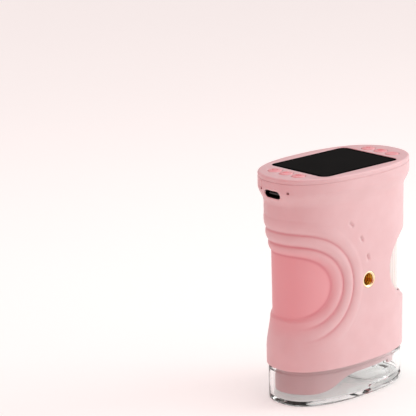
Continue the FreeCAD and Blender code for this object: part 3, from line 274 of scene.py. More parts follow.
port = {
    "z": (socketLow[2] + socketHigh[2]) / 2,
    "halfWidth": 4.65,
    "halfHeight": 1.8,
    "markY": 7.4,
    "markHalfWidth": 1.3,
    "markZ": 96.1,
    "pinholeYs": (-8.6, 6.4),
    "pinholeZ": 94.4,
    "pinhole": 0.62,
}


# straight draft up to the lip, then half a cosine out to the overhang
def lean(z):
    draft = sleeve["draft"] * np.clip((z - sleeve["bottom"]) / (sleeve["lipStart"] - sleeve["bottom"]), 0, 1)
    share = np.clip((z - sleeve["lipStart"]) / (sleeve["lipFull"] - sleeve["lipStart"]), 0, 1)
    return draft + sleeve["overhang"] * (1 - np.cos(np.pi * share)) / 2


# height of the nested ellipse through each point, and the point's angle round the grip's centre: the
# ellipses' stretch changes with their height, so the height settles in a few rounds
def gripPlace(x, z):
    dx, dz = x - grip["centreX"], z - grip["centreZ"]
    height = np.hypot(dx / grip["stretches"][1], dz)
    for _ in range(6):
        height = np.hypot(dx / np.interp(height, grip["heights"], grip["stretches"]), dz)
    return height, np.degrees(np.arctan2(dz, dx))


# a flat floor, then three rolls that each rise steeply, round over and dip into the next crease; the
# creases melt into one smooth slope below
def gripDepth(x, z):
    height, angle = gripPlace(x, z)
    heights, depths, dips = grip["heights"], grip["depths"], grip["dips"]
    rolled = np.full(height.shape, depths[0])
    for index in range(3):
        u = np.clip((height - heights[index]) / (heights[index + 1] - heights[index]), 0, 1)
        rise = 1 - (1 - u) ** (2.6 if index == 0 else 3.4)
        roll = depths[index] + (depths[index + 1] - dips[index] - depths[index]) * rise + dips[index] * u ** 7
        rolled = np.where(height > heights[index], roll, rolled)
    step = 0.3 * smoothStep((height - heights[0]) / 1.6)
    slope = smoothStep((height - heights[0]) / (heights[3] - heights[0]))
    plain = depths[0] * (1 - step - (1 - step) * slope)
    fade = smoothStep((grip["fadeFrom"] - angle) / (grip["fadeFrom"] - grip["fadeTo"]))
    return rolled + (plain - rolled) * fade


# painted shade along the creases: a bell curve of the distance to each crease, gone where the creases melt
# away
def creaseShade(x, z):
    height, angle = gripPlace(x, z)
    keep = smoothStep((angle - grip["fadeTo"]) / (grip["fadeFrom"] - grip["fadeTo"]))
    bells = [np.exp(-((height - middle) / grip["shadeWidth"]) ** 2) for middle in grip["heights"][:3]]
    return keep * sum(bells)


# three round-ended dimples on an arc: depth falls off as a bell curve of the distance to each stroke
def tickDepth(x, z):
    depth = np.zeros(x.shape)
    for degrees in ticks["angles"]:
        a = math.radians(degrees)
        dx = x - (grip["centreX"] + ticks["radius"] * math.cos(a))
        dz = z - (grip["centreZ"] + ticks["radius"] * math.sin(a))
        along = -dx * math.sin(a) + dz * math.cos(a)
        across = dx * math.cos(a) + dz * math.sin(a)
        beyond = np.maximum(np.abs(along) - ticks["halfLength"], 0)
        depth += ticks["depth"] * np.exp(-(across ** 2 + beyond ** 2) / ticks["spread"] ** 2)
    return depth


# sloping rim round the wheel window: depth grows in a straight line towards the opening
def windowDepth(x, z):
    dx, dz = x - window["x"], z - window["z"]
    share = np.hypot(dx / window["halfLength"], dz / window["halfHeight"]) + 1e-6
    beyond = np.hypot(dx, dz) * (1 - 1 / share)
    u = np.clip(1 - beyond / window["rimWidth"], 0, 1)
    return window["rimDepth"] * np.where(beyond < 0, 1.0, u ** 0.7)


# how far a point lies outside the mark's upright rectangle
def markDistance(y, z):
    return np.maximum(np.abs(y - port["markY"]) - port["markHalfWidth"], np.abs(z - port["markZ"]) - 1.6)


# soft rounding into the port and a shallow framed mark beside it, both only at the grip end
def portDepth(x, y, z):
    atEnd = x < -20
    straight = port["halfWidth"] - port["halfHeight"]
    beyond = np.hypot(np.maximum(np.abs(y) - straight, 0), z - port["z"]) - port["halfHeight"]
    rounding = 0.35 * np.clip(1 - beyond / 0.5, 0, 1) ** 2
    mark = 0.3 * (1 - smoothStep((markDistance(y, z) + 0.1) / 0.5))
    return np.where(atEnd, rounding + mark, 0)


def makeSleeve():
    loop = ovalLoop(oval["columns"])
    x, y = loop[0][:, 0], loop[0][:, 1]
    bottom, seam = sleeve["bottom"], sleeve["seam"]
    rows = []
    for offset, rise in ((-0.5, 0.0), (-0.12, 0.08), (0.0, 0.4)):
        rows.append(ovalRow(loop, offset, bottom + rise))
    count = int((seam - bottom - 0.8) / sleeve["rowStep"])
    for z in np.linspace(bottom + 0.8, seam - 0.25, count):
        zs = np.full(x.shape, z)
        depth = gripDepth(x, zs) + tickDepth(x, zs) + windowDepth(x, zs) + portDepth(x, y, zs)
        rows.append(ovalRow(loop, lean(z) - depth, z))
    full = sleeve["draft"] + sleeve["overhang"]
    rows.append(ovalRow(loop, full - 0.05, seam - 0.05))
    rows.append(ovalRow(loop, full - 0.2, seam))
    rows.append(ovalRow(loop, full - sleeve["headWall"], seam))
    rows.append(ovalRow(loop, full - sleeve["headWall"], sleeve["ledge"]))
    for z in np.linspace(sleeve["ledge"], bottom, 34):
        deep = 3.0 * (1 - smoothStep((gripPlace(x, np.full(x.shape, z))[0] - 23) / 8))
        rows.append(ovalRow(loop, min(lean(z), 0.5) - sleeve["wall"] - deep, z))
    piece = gridPiece("body_shell_skin", np.array(rows), closeRows=True)

    insertLow, insertHigh = boxMm("tripod_insert_front")
    insertX, insertZ = (insertLow[0] + insertHigh[0]) / 2, (insertLow[2] + insertHigh[2]) / 2
    insertRadius = (insertHigh[0] - insertLow[0]) / 2
    cutters = [
        prismCutter(circleOutline(window["x"], window["z"], window["halfLength"], 200,
                                  window["halfHeight"] / window["halfLength"]), 1, -30, 30),
        prismCutter(circleOutline(insertX, insertZ, insertRadius + 0.04, 64), 1, -30, -13),
        prismCutter(circleOutline(insertX, insertZ, insertRadius + 0.04, 64), 1, 13, 30),
        prismCutter(slotOutline(0, port["z"], port["halfWidth"], port["halfHeight"]), 0, -60, -25),
        prismCutter(circleOutline(0, port["pinholeZ"], port["pinhole"], 20), 0, 28, 60),
    ]
    for y in port["pinholeYs"]:
        cutters.append(prismCutter(circleOutline(y, port["pinholeZ"], port["pinhole"], 20), 0, -60, -22))
    for side in (-1, 1):
        eye = roundedOutline(1.0, 1.5, 0.5, np.linspace(0, 2 * np.pi, 40, endpoint=False))
        cutters.append(prismCutter(eye + np.array([0, 81.0 + side * 2.45]), 0, 30, 60))
    cutAway(piece, cutters)
    places = vertexPlaces(piece)
    gap = gripDepth(places[:, 0], places[:, 2])
    # painted shade mask: the grip's depth, which tints the recess floor deeper pink
    setAttribute(piece, "paintedGripShade", gap / grip["depths"][0])
    # painted shade: a dark line round the edge of the shallow mark by the port, kept with the crease shade
    outline = np.where(places[:, 0] < -20, np.exp(-(markDistance(places[:, 1], places[:, 2]) / 0.35) ** 2), 0)
    # painted shade mask: darker pink along the creases and round the mark's edge
    setAttribute(piece, "paintedCreaseAndMarkShade", np.maximum(creaseShade(places[:, 0], places[:, 2]), outline))
    smooth(piece, 35)
    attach(piece, "housing")
    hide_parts("body_shell")
    return piece


def slotOutline(x, y, halfWidth, halfHeight, count=40):
    t = np.linspace(0, 2 * np.pi, count, endpoint=False)
    straight = halfWidth - halfHeight
    across = x + np.sign(np.cos(t)) * straight + halfHeight * np.cos(t)
    return np.stack([across, y + halfHeight * np.sin(t)], axis=-1)


# ---- bezel, window and buttons

bezel = {
    "top": boxMm("top_bezel")[1][2],
    "round": 0.9,
    "seatHalfX": 22.6,
    "seatHalfY": 16.9,
    "seatCorner": 3.5,
    "seatDepth": 1.1,
    "ledge": 1.6,
    "holeFlare": 0.35,
}
buttons = {
    "power": ("button_power", "power"),
    "menu": ("button_menu", "menu"),
    "light": ("button_light", "light"),
    "zoomIn": ("button_zoom_in", "plus"),
    "capture": ("button_capture", "capture"),
    "zoomOut": ("button_zoom_out", "minus"),
}


def makeBezel():
    loop = ovalLoop(320)
    full = sleeve["draft"] + sleeve["overhang"]
    seam, top, radius = sleeve["seam"] + 0.03, bezel["top"], bezel["round"]
    rows = [ovalRow(loop, full - radius, seam), ovalRow(loop, full - 0.2, seam)]
    centreZ = top - radius
    for a in np.radians(np.linspace(0, 90, 14)):
        rows.append(ovalRow(loop, full - radius + radius * np.cos(a), centreZ + radius * np.sin(a)))
    edge = rows[-1]
    angles = np.arctan2(edge[:, 1], edge[:, 0])

    def seatRow(grow, z):
        flat = roundedOutline(bezel["seatHalfX"] + grow, bezel["seatHalfY"] + grow,
                              bezel["seatCorner"] + grow, angles)
        return np.column_stack([flat, np.full(len(flat), z)])

    seat = seatRow(0.25, top)
    for share in (0.25, 0.5, 0.75):
        rows.append(edge * (1 - share) + seat * share)
    rows += [seat, seatRow(0.08, top - 0.06), seatRow(0.0, top - 0.25),
             seatRow(0.0, top - bezel["seatDepth"]),
             seatRow(-bezel["ledge"], top - bezel["seatDepth"]), seatRow(-bezel["ledge"], seam)]
    piece = gridPiece("top_bezel_skin", np.array(rows), closeRows=True)
    cutters = []
    for node, _ in buttons.values():
        low, high = boxMm(node)
        x, y = (low[0] + high[0]) / 2, (low[1] + high[1]) / 2
        radius = 3.05
        profile = [(0, seam - 1), (radius, seam - 1), (radius, top - 0.35), (radius + 0.12, top - 0.12),
                   (radius + bezel["holeFlare"], top + 0.01), (radius + bezel["holeFlare"], top + 1),
                   (0, top + 1)]
        cutters.append(lathe("cutter", profile, 56, (x, y)))
    cutAway(piece, cutters)
    smooth(piece, 30)
    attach(piece, "housing")
    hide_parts("top_bezel")
    return piece


# profile of radius and height turned about an upright axis
def lathe(name, profile, columns, centre, closed=False):
    t = np.linspace(0, 2 * np.pi, columns, endpoint=False)
    profile = np.asarray(profile, dtype=float)
    grid = np.zeros((len(profile), columns, 3))
    grid[:, :, 0] = centre[0] + profile[:, :1] * np.cos(t)
    grid[:, :, 1] = centre[1] + profile[:, :1] * np.sin(t)
    grid[:, :, 2] = profile[:, 1:2]
    return gridPiece(name, grid, closeRows=closed)


def makeWindow():
    low, high = boxMm("screen_window")
    halfX, halfY = high[0], high[1]
    angles = np.linspace(0, 2 * np.pi, 240, endpoint=False)
    steps = [(0.0, 0, 0), (0.5, 0, 0), (0.96, 0, 0), (1.0, -0.15, 0), (1.0, 0, 0.15), (1.0, 0, 0.75),
             (1.0, -0.08, 0.93), (1.0, -0.28, 1.0), (0.96, 0, 1.0), (0.5, 0, 1.0), (0.0, 0, 1.0)]
    grid = []
    for share, grow, rise in steps:
        flat = roundedOutline(halfX + grow, halfY + grow, 3.4 + grow, angles) * share
        grid.append(np.column_stack([flat, np.full(len(flat), low[2] + rise * (high[2] - low[2]))]))
    piece = gridPiece("screen_window_glass", np.array(grid))
    smooth(piece, 40)
    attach(piece, "housing")
    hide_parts("screen_window")
    return piece


# round-ended stroke: a small circle carried along a path, squeezed to points at both ends
def stroke(path, radius, count=8):
    path = np.asarray(path, dtype=float)
    along = np.gradient(path, axis=0)
    along /= np.linalg.norm(along, axis=1, keepdims=True)
    side = np.stack([-along[:, 1], along[:, 0], np.zeros(len(path))], axis=-1)
    side /= np.linalg.norm(side, axis=1, keepdims=True)
    up = np.array([0, 0, 1.0])
    t = np.linspace(0, 2 * np.pi, count, endpoint=False)
    rows = []
    ends = [(0, -1.0), (0, -0.7), (0, 0.0)] + [(i, 0.0) for i in range(1, len(path) - 1)]
    ends += [(len(path) - 1, 0.0), (len(path) - 1, 0.7), (len(path) - 1, 1.0)]
    for index, push in ends:
        r = radius * math.sqrt(max(1 - push * push, 0))
        middle = path[index] + along[index] * push * radius
        rows.append(middle + r * (np.cos(t)[:, None] * side[index] + np.sin(t)[:, None] * up))
    return gridPiece("stroke", np.array(rows)[:, ::-1])


def arcPath(radius, start, end, count=22, x=0.0, y=0.0):
    t = np.radians(np.linspace(start, end, count))
    return np.stack([x + radius * np.cos(t), y + radius * np.sin(t)], axis=-1)


def linePath(x0, y0, x1, y1):
    u = np.linspace(0, 1, 5)[:, None]
    return np.array([[x0, y0]]) * (1 - u) + np.array([[x1, y1]]) * u


iconPaths = {
    "power": [arcPath(1.1, 125, 415), linePath(0, 0.5, 0, 1.5)],
    "menu": [linePath(-1, 0.75, 1, 0.75), linePath(-1, 0, 1, 0), linePath(-1, -0.75, 1, -0.75)],
    "light": [arcPath(0.62, 0, 350)] + [linePath(0.98 * math.cos(a), 0.98 * math.sin(a), 1.4 * math.cos(a),
                                                 1.4 * math.sin(a)) for a in np.arange(8) * math.pi / 4],
    "plus": [linePath(-1.1, 0, 1.1, 0), linePath(0, -1.1, 0, 1.1)],
    "capture": [arcPath(1.2, 0, 350), arcPath(0.5, 0, 350)],
    "minus": [linePath(-1.1, 0, 1.1, 0)],
}


# button top: height falls from the middle as the square of the radius, then rounds over its edge
def buttonTop(r, radius, top):
    return top - 0.16 * (r / radius) ** 2


def makeButton(node, icon):
    low, high = boxMm(node)
    x, y = (low[0] + high[0]) / 2, (low[1] + high[1]) / 2
    top, radius = high[2] - 0.14, 2.9
    profile = [(0, low[2]), (1.3, low[2]), (1.3, low[2] + 0.75), (3.45, low[2] + 0.75), (3.45, low[2] + 1.4),
               (radius, low[2] + 1.4)]
    for r in (2.9, 2.86, 2.76, 2.6):
        drop = 0.45 * (1 - math.sqrt(max(1 - ((r - 2.55) / 0.35) ** 2, 0))) if r > 2.55 else 0
        profile.append((r, buttonTop(r, radius, top) - drop))
    for r in (2.3, 1.8, 1.2, 0.6, 0):
        profile.append((r, buttonTop(r, radius, top)))
    cap = lathe(node + "_cap", profile, 64, (x, y))
    smooth(cap, 40)
    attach(cap, node)
    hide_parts(node)
    strokes = []
    for flat in iconPaths[icon]:
        r = np.linalg.norm(flat, axis=1)
        path = np.column_stack([flat[:, 0] + x, flat[:, 1] + y, buttonTop(r, radius, top) - 0.05])
        strokes.append(stroke(path, 0.17))
    mark = smooth(joinPieces(node + "_icon", strokes), 60)
    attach(mark, node)
    return cap, mark


# ---- focus wheel

wheel = {
    "ribs": 48,
    "ribDepth": 0.42,
    "round": 1.2,
    "bore": 9.05,
}


# radius dips between ribs as a raised cosine of the angle, and the ends round over
def makeWheel():
    low, high = boxMm("focus_wheel")
    centre = ((low[0] + high[0]) / 2, (low[1] + high[1]) / 2)
    radius = (high[0] - low[0]) / 2
    columns = wheel["ribs"] * 10
    t = np.linspace(0, 2 * np.pi, columns, endpoint=False)
    rib = wheel["ribDepth"] * (0.5 - 0.5 * np.cos(t * wheel["ribs"])) ** 1.6
    profile = [(wheel["bore"], low[2] + 0.4), (wheel["bore"] + 0.4, low[2])]
    corner = wheel["round"]
    for a in np.radians(np.linspace(-90, 0, 7)):
        profile.append((radius - corner + corner * math.cos(a), low[2] + corner + corner * math.sin(a)))
    for z in np.linspace(low[2] + corner, high[2] - corner, 8)[1:-1]:
        profile.append((radius, z))
    for a in np.radians(np.linspace(0, 90, 7)):
        profile.append((radius - corner + corner * math.cos(a), high[2] - corner + corner * math.sin(a)))
    profile += [(wheel["bore"] + 0.4, high[2]), (wheel["bore"], high[2] - 0.4)]
    profile = np.array(profile)
    grid = np.zeros((len(profile), columns, 3))
    outer = smoothStep((profile[:, :1] - (radius - corner)) / (corner * 0.6))
    r = profile[:, :1] - rib * outer
    grid[:, :, 0] = centre[0] + r * np.cos(t)
    grid[:, :, 1] = centre[1] + r * np.sin(t)
    grid[:, :, 2] = profile[:, 1:2]
    piece = smooth(gridPiece("focus_wheel_ribbed", grid, closeRows=True), 50)
    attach(piece, "focus_wheel")
    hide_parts("focus_wheel")
    return piece


# ---- tripod inserts: turned brass with a real thread

insert = {
    "bore": 2.6,
    "outer": 3.65,
    "length": 8.0,
    "pitch": 1.27,       # twenty threads to the inch
    "threadDepth": 0.42,
    "chamfer": 0.5,
}


# thread: the bore's radius grows as a rounded saw of the depth less the turn
def makeInsert(node, side):
    low, high = boxMm(node)
    x, z = (low[0] + high[0]) / 2, (low[2] + high[2]) / 2
    face = low[1] if side < 0 else high[1]
    columns = 72
    t = np.linspace(0, 2 * np.pi, columns, endpoint=False)
    outer, bore, length, chamfer = insert["outer"], insert["bore"], insert["length"], insert["chamfer"]
    profile = [(outer, length), (outer, 0.25), (outer - 0.07, 0.07), (outer - 0.25, 0.0),
               (bore + chamfer + 0.12, 0.0), (bore + chamfer, 0.04), (bore, chamfer)]
    depths = np.arange(chamfer + 0.1, length - 0.1, 0.14)
    profile += [(bore, d) for d in depths] + [(bore, length)]
    profile = np.array(profile)
    threaded = (profile[:, 0] == bore) & (profile[:, 1] < length)
    r = np.repeat(profile[:, :1], columns, axis=1)
    wave = np.abs(((profile[:, 1:2] / insert["pitch"] - t / (2 * np.pi)) % 1) * 2 - 1)
    ease = np.clip((profile[:, 1:2] - chamfer) / 0.5, 0, 1)
    r = r + np.where(threaded[:, None], insert["threadDepth"] * smoothStep(wave) * ease, 0)
    grid = np.zeros((len(profile), columns, 3))
    grid[:, :, 0] = x + r * np.cos(t)
    grid[:, :, 1] = face - side * profile[:, 1:2]
    grid[:, :, 2] = z + r * np.sin(t)
    if side > 0:
        grid = grid[:, ::-1]
    piece = smooth(gridPiece(node + "_threaded", grid, closeRows=True), 35)
    deep = side * (face - vertexPlaces(piece)[:, 1])
    # mask for the painted highlight: 0 on the face round the mouth, 1 down the bore
    setAttribute(piece, "inBore", np.clip((deep - 0.15) / 0.9, 0, 1))
    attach(piece, "housing")
    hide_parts(node)
    return piece


# ---- USB-C socket

def makeSocket():
    low, high = boxMm("usb_socket")
    z = (low[2] + high[2]) / 2
    halfW, halfH = high[1], (high[2] - low[2]) / 2
    wall = 0.3
    rows = []
    for inset, x in ((0.0, high[0]), (0.0, low[0] + 0.15), (0.04, low[0] + 0.04), (0.12, low[0]),
                     (wall - 0.08, low[0]), (wall, low[0] + 0.1), (wall, high[0] - wall)):
        flat = slotOutline(0, z, halfW - inset, halfH - inset, 72)
        rows.append(np.column_stack([np.full(len(flat), x), flat]))
    back = np.tile(np.array([[high[0] - wall, 0, z]]), (72, 1))
    behind = np.tile(np.array([[high[0], 0, z]]), (72, 1))
    grid = np.array([behind] + rows + [back])
    piece = smooth(gridPiece("usb_socket_shell", grid[:, ::-1]), 35)
    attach(piece, "housing")
    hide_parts("usb_socket")
    return piece


def makeTongue():
    low, high = boxMm("usb_tongue")
    z = (low[2] + high[2]) / 2
    rows = []
    for share, grow, x in ((0.0, 0, low[0]), (0.9, 0, low[0]), (1.0, -0.05, low[0] + 0.06),
                           (1.0, 0.0, low[0] + 0.3),
                           (1.0, 0, high[0] - 1.4), (1.0, 0.0, high[0] - 1.3), (0.0, 0.0, high[0] - 1.3)):
        angles = np.linspace(0, 2 * np.pi, 64, endpoint=False)
        flat = roundedOutline(3.3 + grow, 0.35 + grow, 0.12, angles) * share
        rows.append(np.column_stack([np.full(len(flat), x), flat + np.array([0, z])]))
    blade = gridPiece("usb_tongue_blade", np.array(rows))
    smooth(blade, 35)
    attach(blade, "housing")
    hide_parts("usb_tongue")
    contacts = []
    for side in (-1, 1):
        for index in range(12):
            y = (index - 5.5) * 0.5
            points = np.array([(dx, dy, dz) for dx in (0.35, 3.2) for dy in (-0.13, 0.13)
                               for dz in (-0.03, 0.03)])
            points += np.array([low[0], y, z + side * 0.35])
            faces = [(0, 1, 3, 2), (4, 6, 7, 5), (0, 4, 5, 1), (2, 3, 7, 6), (0, 2, 6, 4), (1, 5, 7, 3)]
            contacts.append(newPiece("contact", points, faces))
    pads = joinPieces("usb_contacts", contacts)
    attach(pads, "housing")
    return blade, pads


# ---- clear foot

foot = {
    "offset": -0.75,
    "wall": 1.85,
    "floor": 2.05,
    "round": 1.2,
    "top": 15.6,
    "spigotOffset": -1.95,
    "spigotWall": 1.15,
    "slotStart": 2.9,
    "slotHeight": 2.05,
    "viewRadius": 9.5,
}


def makeFoot():
    loop = ovalLoop(300)
    outer, wall, floor, radius = foot["offset"], foot["wall"], foot["floor"], foot["round"]
    spigotTop = boxMm("clear_base")[1][2]
    under = ovalRow(loop, outer - radius, 0.0)
    rows = [shrunkRow(under, 0.0, 0.0), shrunkRow(under, 0.5, 0.0), shrunkRow(under, 0.93, 0.0)]
    for a in np.radians(np.linspace(-90, 0, 9)):
        rows.append(ovalRow(loop, outer - radius + radius * math.cos(a), radius + radius * math.sin(a)))
    for z in (4.0, 8.0, 12.0, foot["top"] - 0.3):
        rows.append(ovalRow(loop, outer, z))
    rows.append(ovalRow(loop, outer - 0.08, foot["top"] - 0.08))
    rows.append(ovalRow(loop, outer - 0.3, foot["top"]))
    rows.append(ovalRow(loop, foot["spigotOffset"], foot["top"]))
    rows.append(ovalRow(loop, foot["spigotOffset"], spigotTop))
    inside = foot["spigotOffset"] - foot["spigotWall"]
    rows.append(ovalRow(loop, inside, spigotTop))
    rows.append(ovalRow(loop, inside, foot["top"] - floor + 0.3))
    rows.append(ovalRow(loop, outer - wall, foot["top"] - floor - 0.3))
    for z in (10.0, 6.0, floor + 0.6):
        rows.append(ovalRow(loop, outer - wall, z))
    for a in np.radians(np.linspace(15, 90, 5)):
        rows.append(ovalRow(loop, outer - wall - 0.6 + 0.6 * math.cos(a), floor + 0.6 - 0.6 * math.sin(a)))
    edge = rows[-1]
    rows += [shrunkRow(edge, 0.9, floor), shrunkRow(edge, 0.5, floor), shrunkRow(edge, 0.0, floor)]
    piece = gridPiece("clear_base_moulding", np.array(rows))
    axisX = (boxMm("focus_wheel")[0][0] + boxMm("focus_wheel")[1][0]) / 2
    hole = [(0, -1), (foot["viewRadius"] + 0.3, -1), (foot["viewRadius"] + 0.3, 0), (foot["viewRadius"], 0.3),
            (foot["viewRadius"], floor - 0.3), (foot["viewRadius"] + 0.3, floor), (0, floor + 0.4)]
    slotLow, slotHigh = floor, floor + foot["slotHeight"]
    start = foot["slotStart"]
    outline = np.array([(start, slotLow + 0.5), (start + 0.15, slotLow + 0.15), (start + 0.5, slotLow),
                        (60, slotLow), (60, slotHigh), (start + 0.5, slotHigh),
                        (start + 0.15, slotHigh - 0.15), (start, slotHigh - 0.5)])
    cutAway(piece, [prismCutter(outline, 1, -40, 40)])
    cutAway(piece, [lathe("cutter", hole, 120, (axisX, 0))])
    smooth(piece, 35)
    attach(piece, "housing")
    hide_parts("clear_base")
    return piece


# ---- materials

def linear(hexColour):
    channels = [int(hexColour[i:i + 2], 16) / 255 for i in (1, 3, 5)]
    return tuple(c / 12.92 if c <= 0.04045 else ((c + 0.055) / 1.055) ** 2.4 for c in channels) + (1.0,)


def addNode(tree, kind, settings=None, links=None):
    node = tree.nodes.new(kind)
    for key, value in (settings or {}).items():
        if isinstance(key, str) and key not in node.inputs:
            setattr(node, key, value)
        else:
            node.inputs[key].default_value = value
    for key, source in (links or {}).items():
        tree.links.new(source, node.inputs[key])
    return node


def newMaterial(name):
    material = bpy.data.materials.new(name)
    material.use_nodes = True
    tree = material.node_tree
    shader = tree.nodes["Principled BSDF"]
    place = addNode(tree, "ShaderNodeTexCoord").outputs["Object"]
    return material, tree, shader, place


def noiseAt(tree, place, sizeMm, detail=3.0, roughness=0.5):
    return addNode(tree, "ShaderNodeTexNoise",
                   {"Scale": 1 / (sizeMm * mm), "Detail": detail, "Roughness": roughness},
                   {"Vector": place}).outputs["Fac"]


def mixColour(tree, factor, first, second):
    mix = addNode(tree, "ShaderNodeMix", {"data_type": "RGBA"})
    tree.links.new(factor, mix.inputs["Factor"])
    for socket, colour in (("A", first), ("B", second)):
        target = [s for s in mix.inputs if s.name == socket and s.type == "RGBA"][0]
        if isinstance(colour, tuple):
            target.default_value = colour
        else:
            tree.links.new(colour, target)
    return [s for s in mix.outputs if s.type == "RGBA"][0]


def ramp(tree, source, low, high, toLow=0.0, toHigh=1.0):
    limits = {"From Min": low, "From Max": high, "To Min": toLow, "To Max": toHigh}
    return addNode(tree, "ShaderNodeMapRange", limits, {"Value": source}).outputs["Result"]


def addBump(tree, shader, height, depthMm, strength=1.0):
    bump = addNode(tree, "ShaderNodeBump", {"Strength": strength, "Distance": depthMm * mm},
                   {"Height": height})
    tree.links.new(bump.outputs["Normal"], shader.inputs["Normal"])


# moulded pink ABS with a fine spark-eroded satin texture: soft broad highlights, faint mottling, and painted
# shade: deeper pink in the grip recess, along its creases and round the mark by the port
def satinPinkAbs():
    material, tree, shader, place = newMaterial("satinPinkAbs")
    cloud = noiseAt(tree, place, 9.0, 2.0)
    plain = mixColour(tree, ramp(tree, cloud, 0.35, 0.65), linear("#DBB9BB"), linear("#DEBEC0"))
    paintedGripShade = addNode(tree, "ShaderNodeAttribute", {"attribute_name": "paintedGripShade"}).outputs["Fac"]
    paintedCreaseAndMarkShade = addNode(tree, "ShaderNodeAttribute", {"attribute_name": "paintedCreaseAndMarkShade"}).outputs["Fac"]
    # painted shade: the grip recess is tinted deeper pink (#E59DA3) by its depth
    gripShaded = mixColour(tree, ramp(tree, paintedGripShade, 0.3, 1.0, 0.0, 0.75), plain, linear("#E59DA3"))
    # painted shade: darker pink (#C8727B) along the creases and round the mark's edge
    deep = mixColour(tree, ramp(tree, paintedCreaseAndMarkShade, 0.0, 1.0, 0.0, 0.6), gripShaded, linear("#C8727B"))
    tree.links.new(deep, shader.inputs["Base Color"])
    grain = noiseAt(tree, place, 0.35, 2.0)
    tree.links.new(ramp(tree, grain, 0.3, 0.7, 0.44, 0.54), shader.inputs["Roughness"])
    shader.inputs["IOR"].default_value = 1.53
    shader.inputs["Subsurface Weight"].default_value = 0.12
    shader.inputs["Subsurface Radius"].default_value = (1.0, 0.45, 0.4)
    shader.inputs["Subsurface Scale"].default_value = 0.8 * mm
    addBump(tree, shader, grain, 0.012, 0.6)
    return material


# the same plastic polished a little by fingertips on the button caps
def rubbedPinkAbs():
    material, tree, shader, place = newMaterial("rubbedPinkAbs")
    cloud = noiseAt(tree, place, 2.5, 2.0)
    tree.links.new(mixColour(tree, ramp(tree, cloud, 0.35, 0.65), linear("#E8A9AD"), linear("#EBAFB3")),
                   shader.inputs["Base Color"])
    tree.links.new(ramp(tree, cloud, 0.3, 0.7, 0.34, 0.44), shader.inputs["Roughness"])
    shader.inputs["IOR"].default_value = 1.53
    addBump(tree, shader, noiseAt(tree, place, 0.3, 2.0), 0.008, 0.5)
    return material


# raised icon strokes in a deeper rose, two-shot moulded
def deepRoseAbs():
    material, tree, shader, place = newMaterial("deepRoseAbs")
    tree.links.new(mixColour(tree, noiseAt(tree, place, 0.8, 2.0), linear("#D9777F"), linear("#DF828A")),
                   shader.inputs["Base Color"])
    tree.links.new(ramp(tree, noiseAt(tree, place, 0.5), 0.3, 0.7, 0.35, 0.5), shader.inputs["Roughness"])
    shader.inputs["IOR"].default_value = 1.53
    return material


# moulded white ABS: slightly warm, satin, with faint flow lines up the ribs
def satinWhiteAbs():
    material, tree, shader, place = newMaterial("satinWhiteAbs")
    mapping = addNode(tree, "ShaderNodeMapping", {"Scale": (1, 1, 0.15)}, {"Vector": place})
    stretched = mapping.outputs["Vector"]
    flow = noiseAt(tree, stretched, 1.6, 2.0)
    tree.links.new(mixColour(tree, ramp(tree, flow, 0.3, 0.7), linear("#E9E8E4"), linear("#EFEEEB")),
                   shader.inputs["Base Color"])
    tree.links.new(ramp(tree, flow, 0.3, 0.7, 0.38, 0.48), shader.inputs["Roughness"])
    shader.inputs["IOR"].default_value = 1.53
    shader.inputs["Subsurface Weight"].default_value = 0.1
    shader.inputs["Subsurface Scale"].default_value = 0.6 * mm
    addBump(tree, shader, noiseAt(tree, place, 0.3, 2.0), 0.008, 0.5)
    return material


# clear injection-moulded acrylic: sharp reflections, almost no colour, faint flow ripple
def clearAcrylic():
    material, tree, shader, place = newMaterial("clearAcrylic")
    shader.inputs["Base Color"].default_value = linear("#FDFEFE")
    shader.inputs["Transmission Weight"].default_value = 1.0
    shader.inputs["IOR"].default_value = 1.49
    ripple = noiseAt(tree, place, 7.0, 1.0)
    tree.links.new(ramp(tree, noiseAt(tree, place, 1.5), 0.3, 0.7, 0.0, 0.03), shader.inputs["Roughness"])
    addBump(tree, shader, ripple, 0.03, 0.25)
    # light reaches what stands inside as it does through real clear walls, not as through black glass
    through = addNode(tree, "ShaderNodeBsdfTransparent", {"Color": linear("#F2F4F4")})
    ray = addNode(tree, "ShaderNodeLightPath").outputs["Is Shadow Ray"]
    mix = addNode(tree, "ShaderNodeMixShader", None, {0: ray, 1: shader.outputs[0], 2: through.outputs[0]})
    tree.links.new(mix.outputs[0], tree.nodes["Material Output"].inputs["Surface"])
    return material


# hard-coated display window: black ink border, a slightly lighter switched-off panel behind the middle
def displayWindow():
    material, tree, shader, place = newMaterial("displayWindow")
    parts = addNode(tree, "ShaderNodeSeparateXYZ", None, {"Vector": place})
    ax = addNode(tree, "ShaderNodeMath", {"operation": "ABSOLUTE"}, {0: parts.outputs["X"]}).outputs[0]
    ay = addNode(tree, "ShaderNodeMath", {"operation": "ABSOLUTE"}, {0: parts.outputs["Y"]}).outputs[0]
    inX = ramp(tree, ax, 20.3 * mm, 20.5 * mm, 1.0, 0.0)
    inY = ramp(tree, ay, 14.9 * mm, 15.1 * mm, 1.0, 0.0)
    inside = addNode(tree, "ShaderNodeMath", {"operation": "MULTIPLY"}, {0: inX, 1: inY}).outputs[0]
    cloud = noiseAt(tree, place, 12.0, 2.0)
    panel = mixColour(tree, cloud, linear("#191919"), linear("#1F1F1E"))
    tree.links.new(mixColour(tree, inside, linear("#030303"), panel), shader.inputs["Base Color"])
    tree.links.new(ramp(tree, noiseAt(tree, place, 3.0), 0.3, 0.7, 0.05, 0.09), shader.inputs["Roughness"])
    shader.inputs["IOR"].default_value = 1.5
    shader.inputs["Specular IOR Level"].default_value = 0.15
    return material


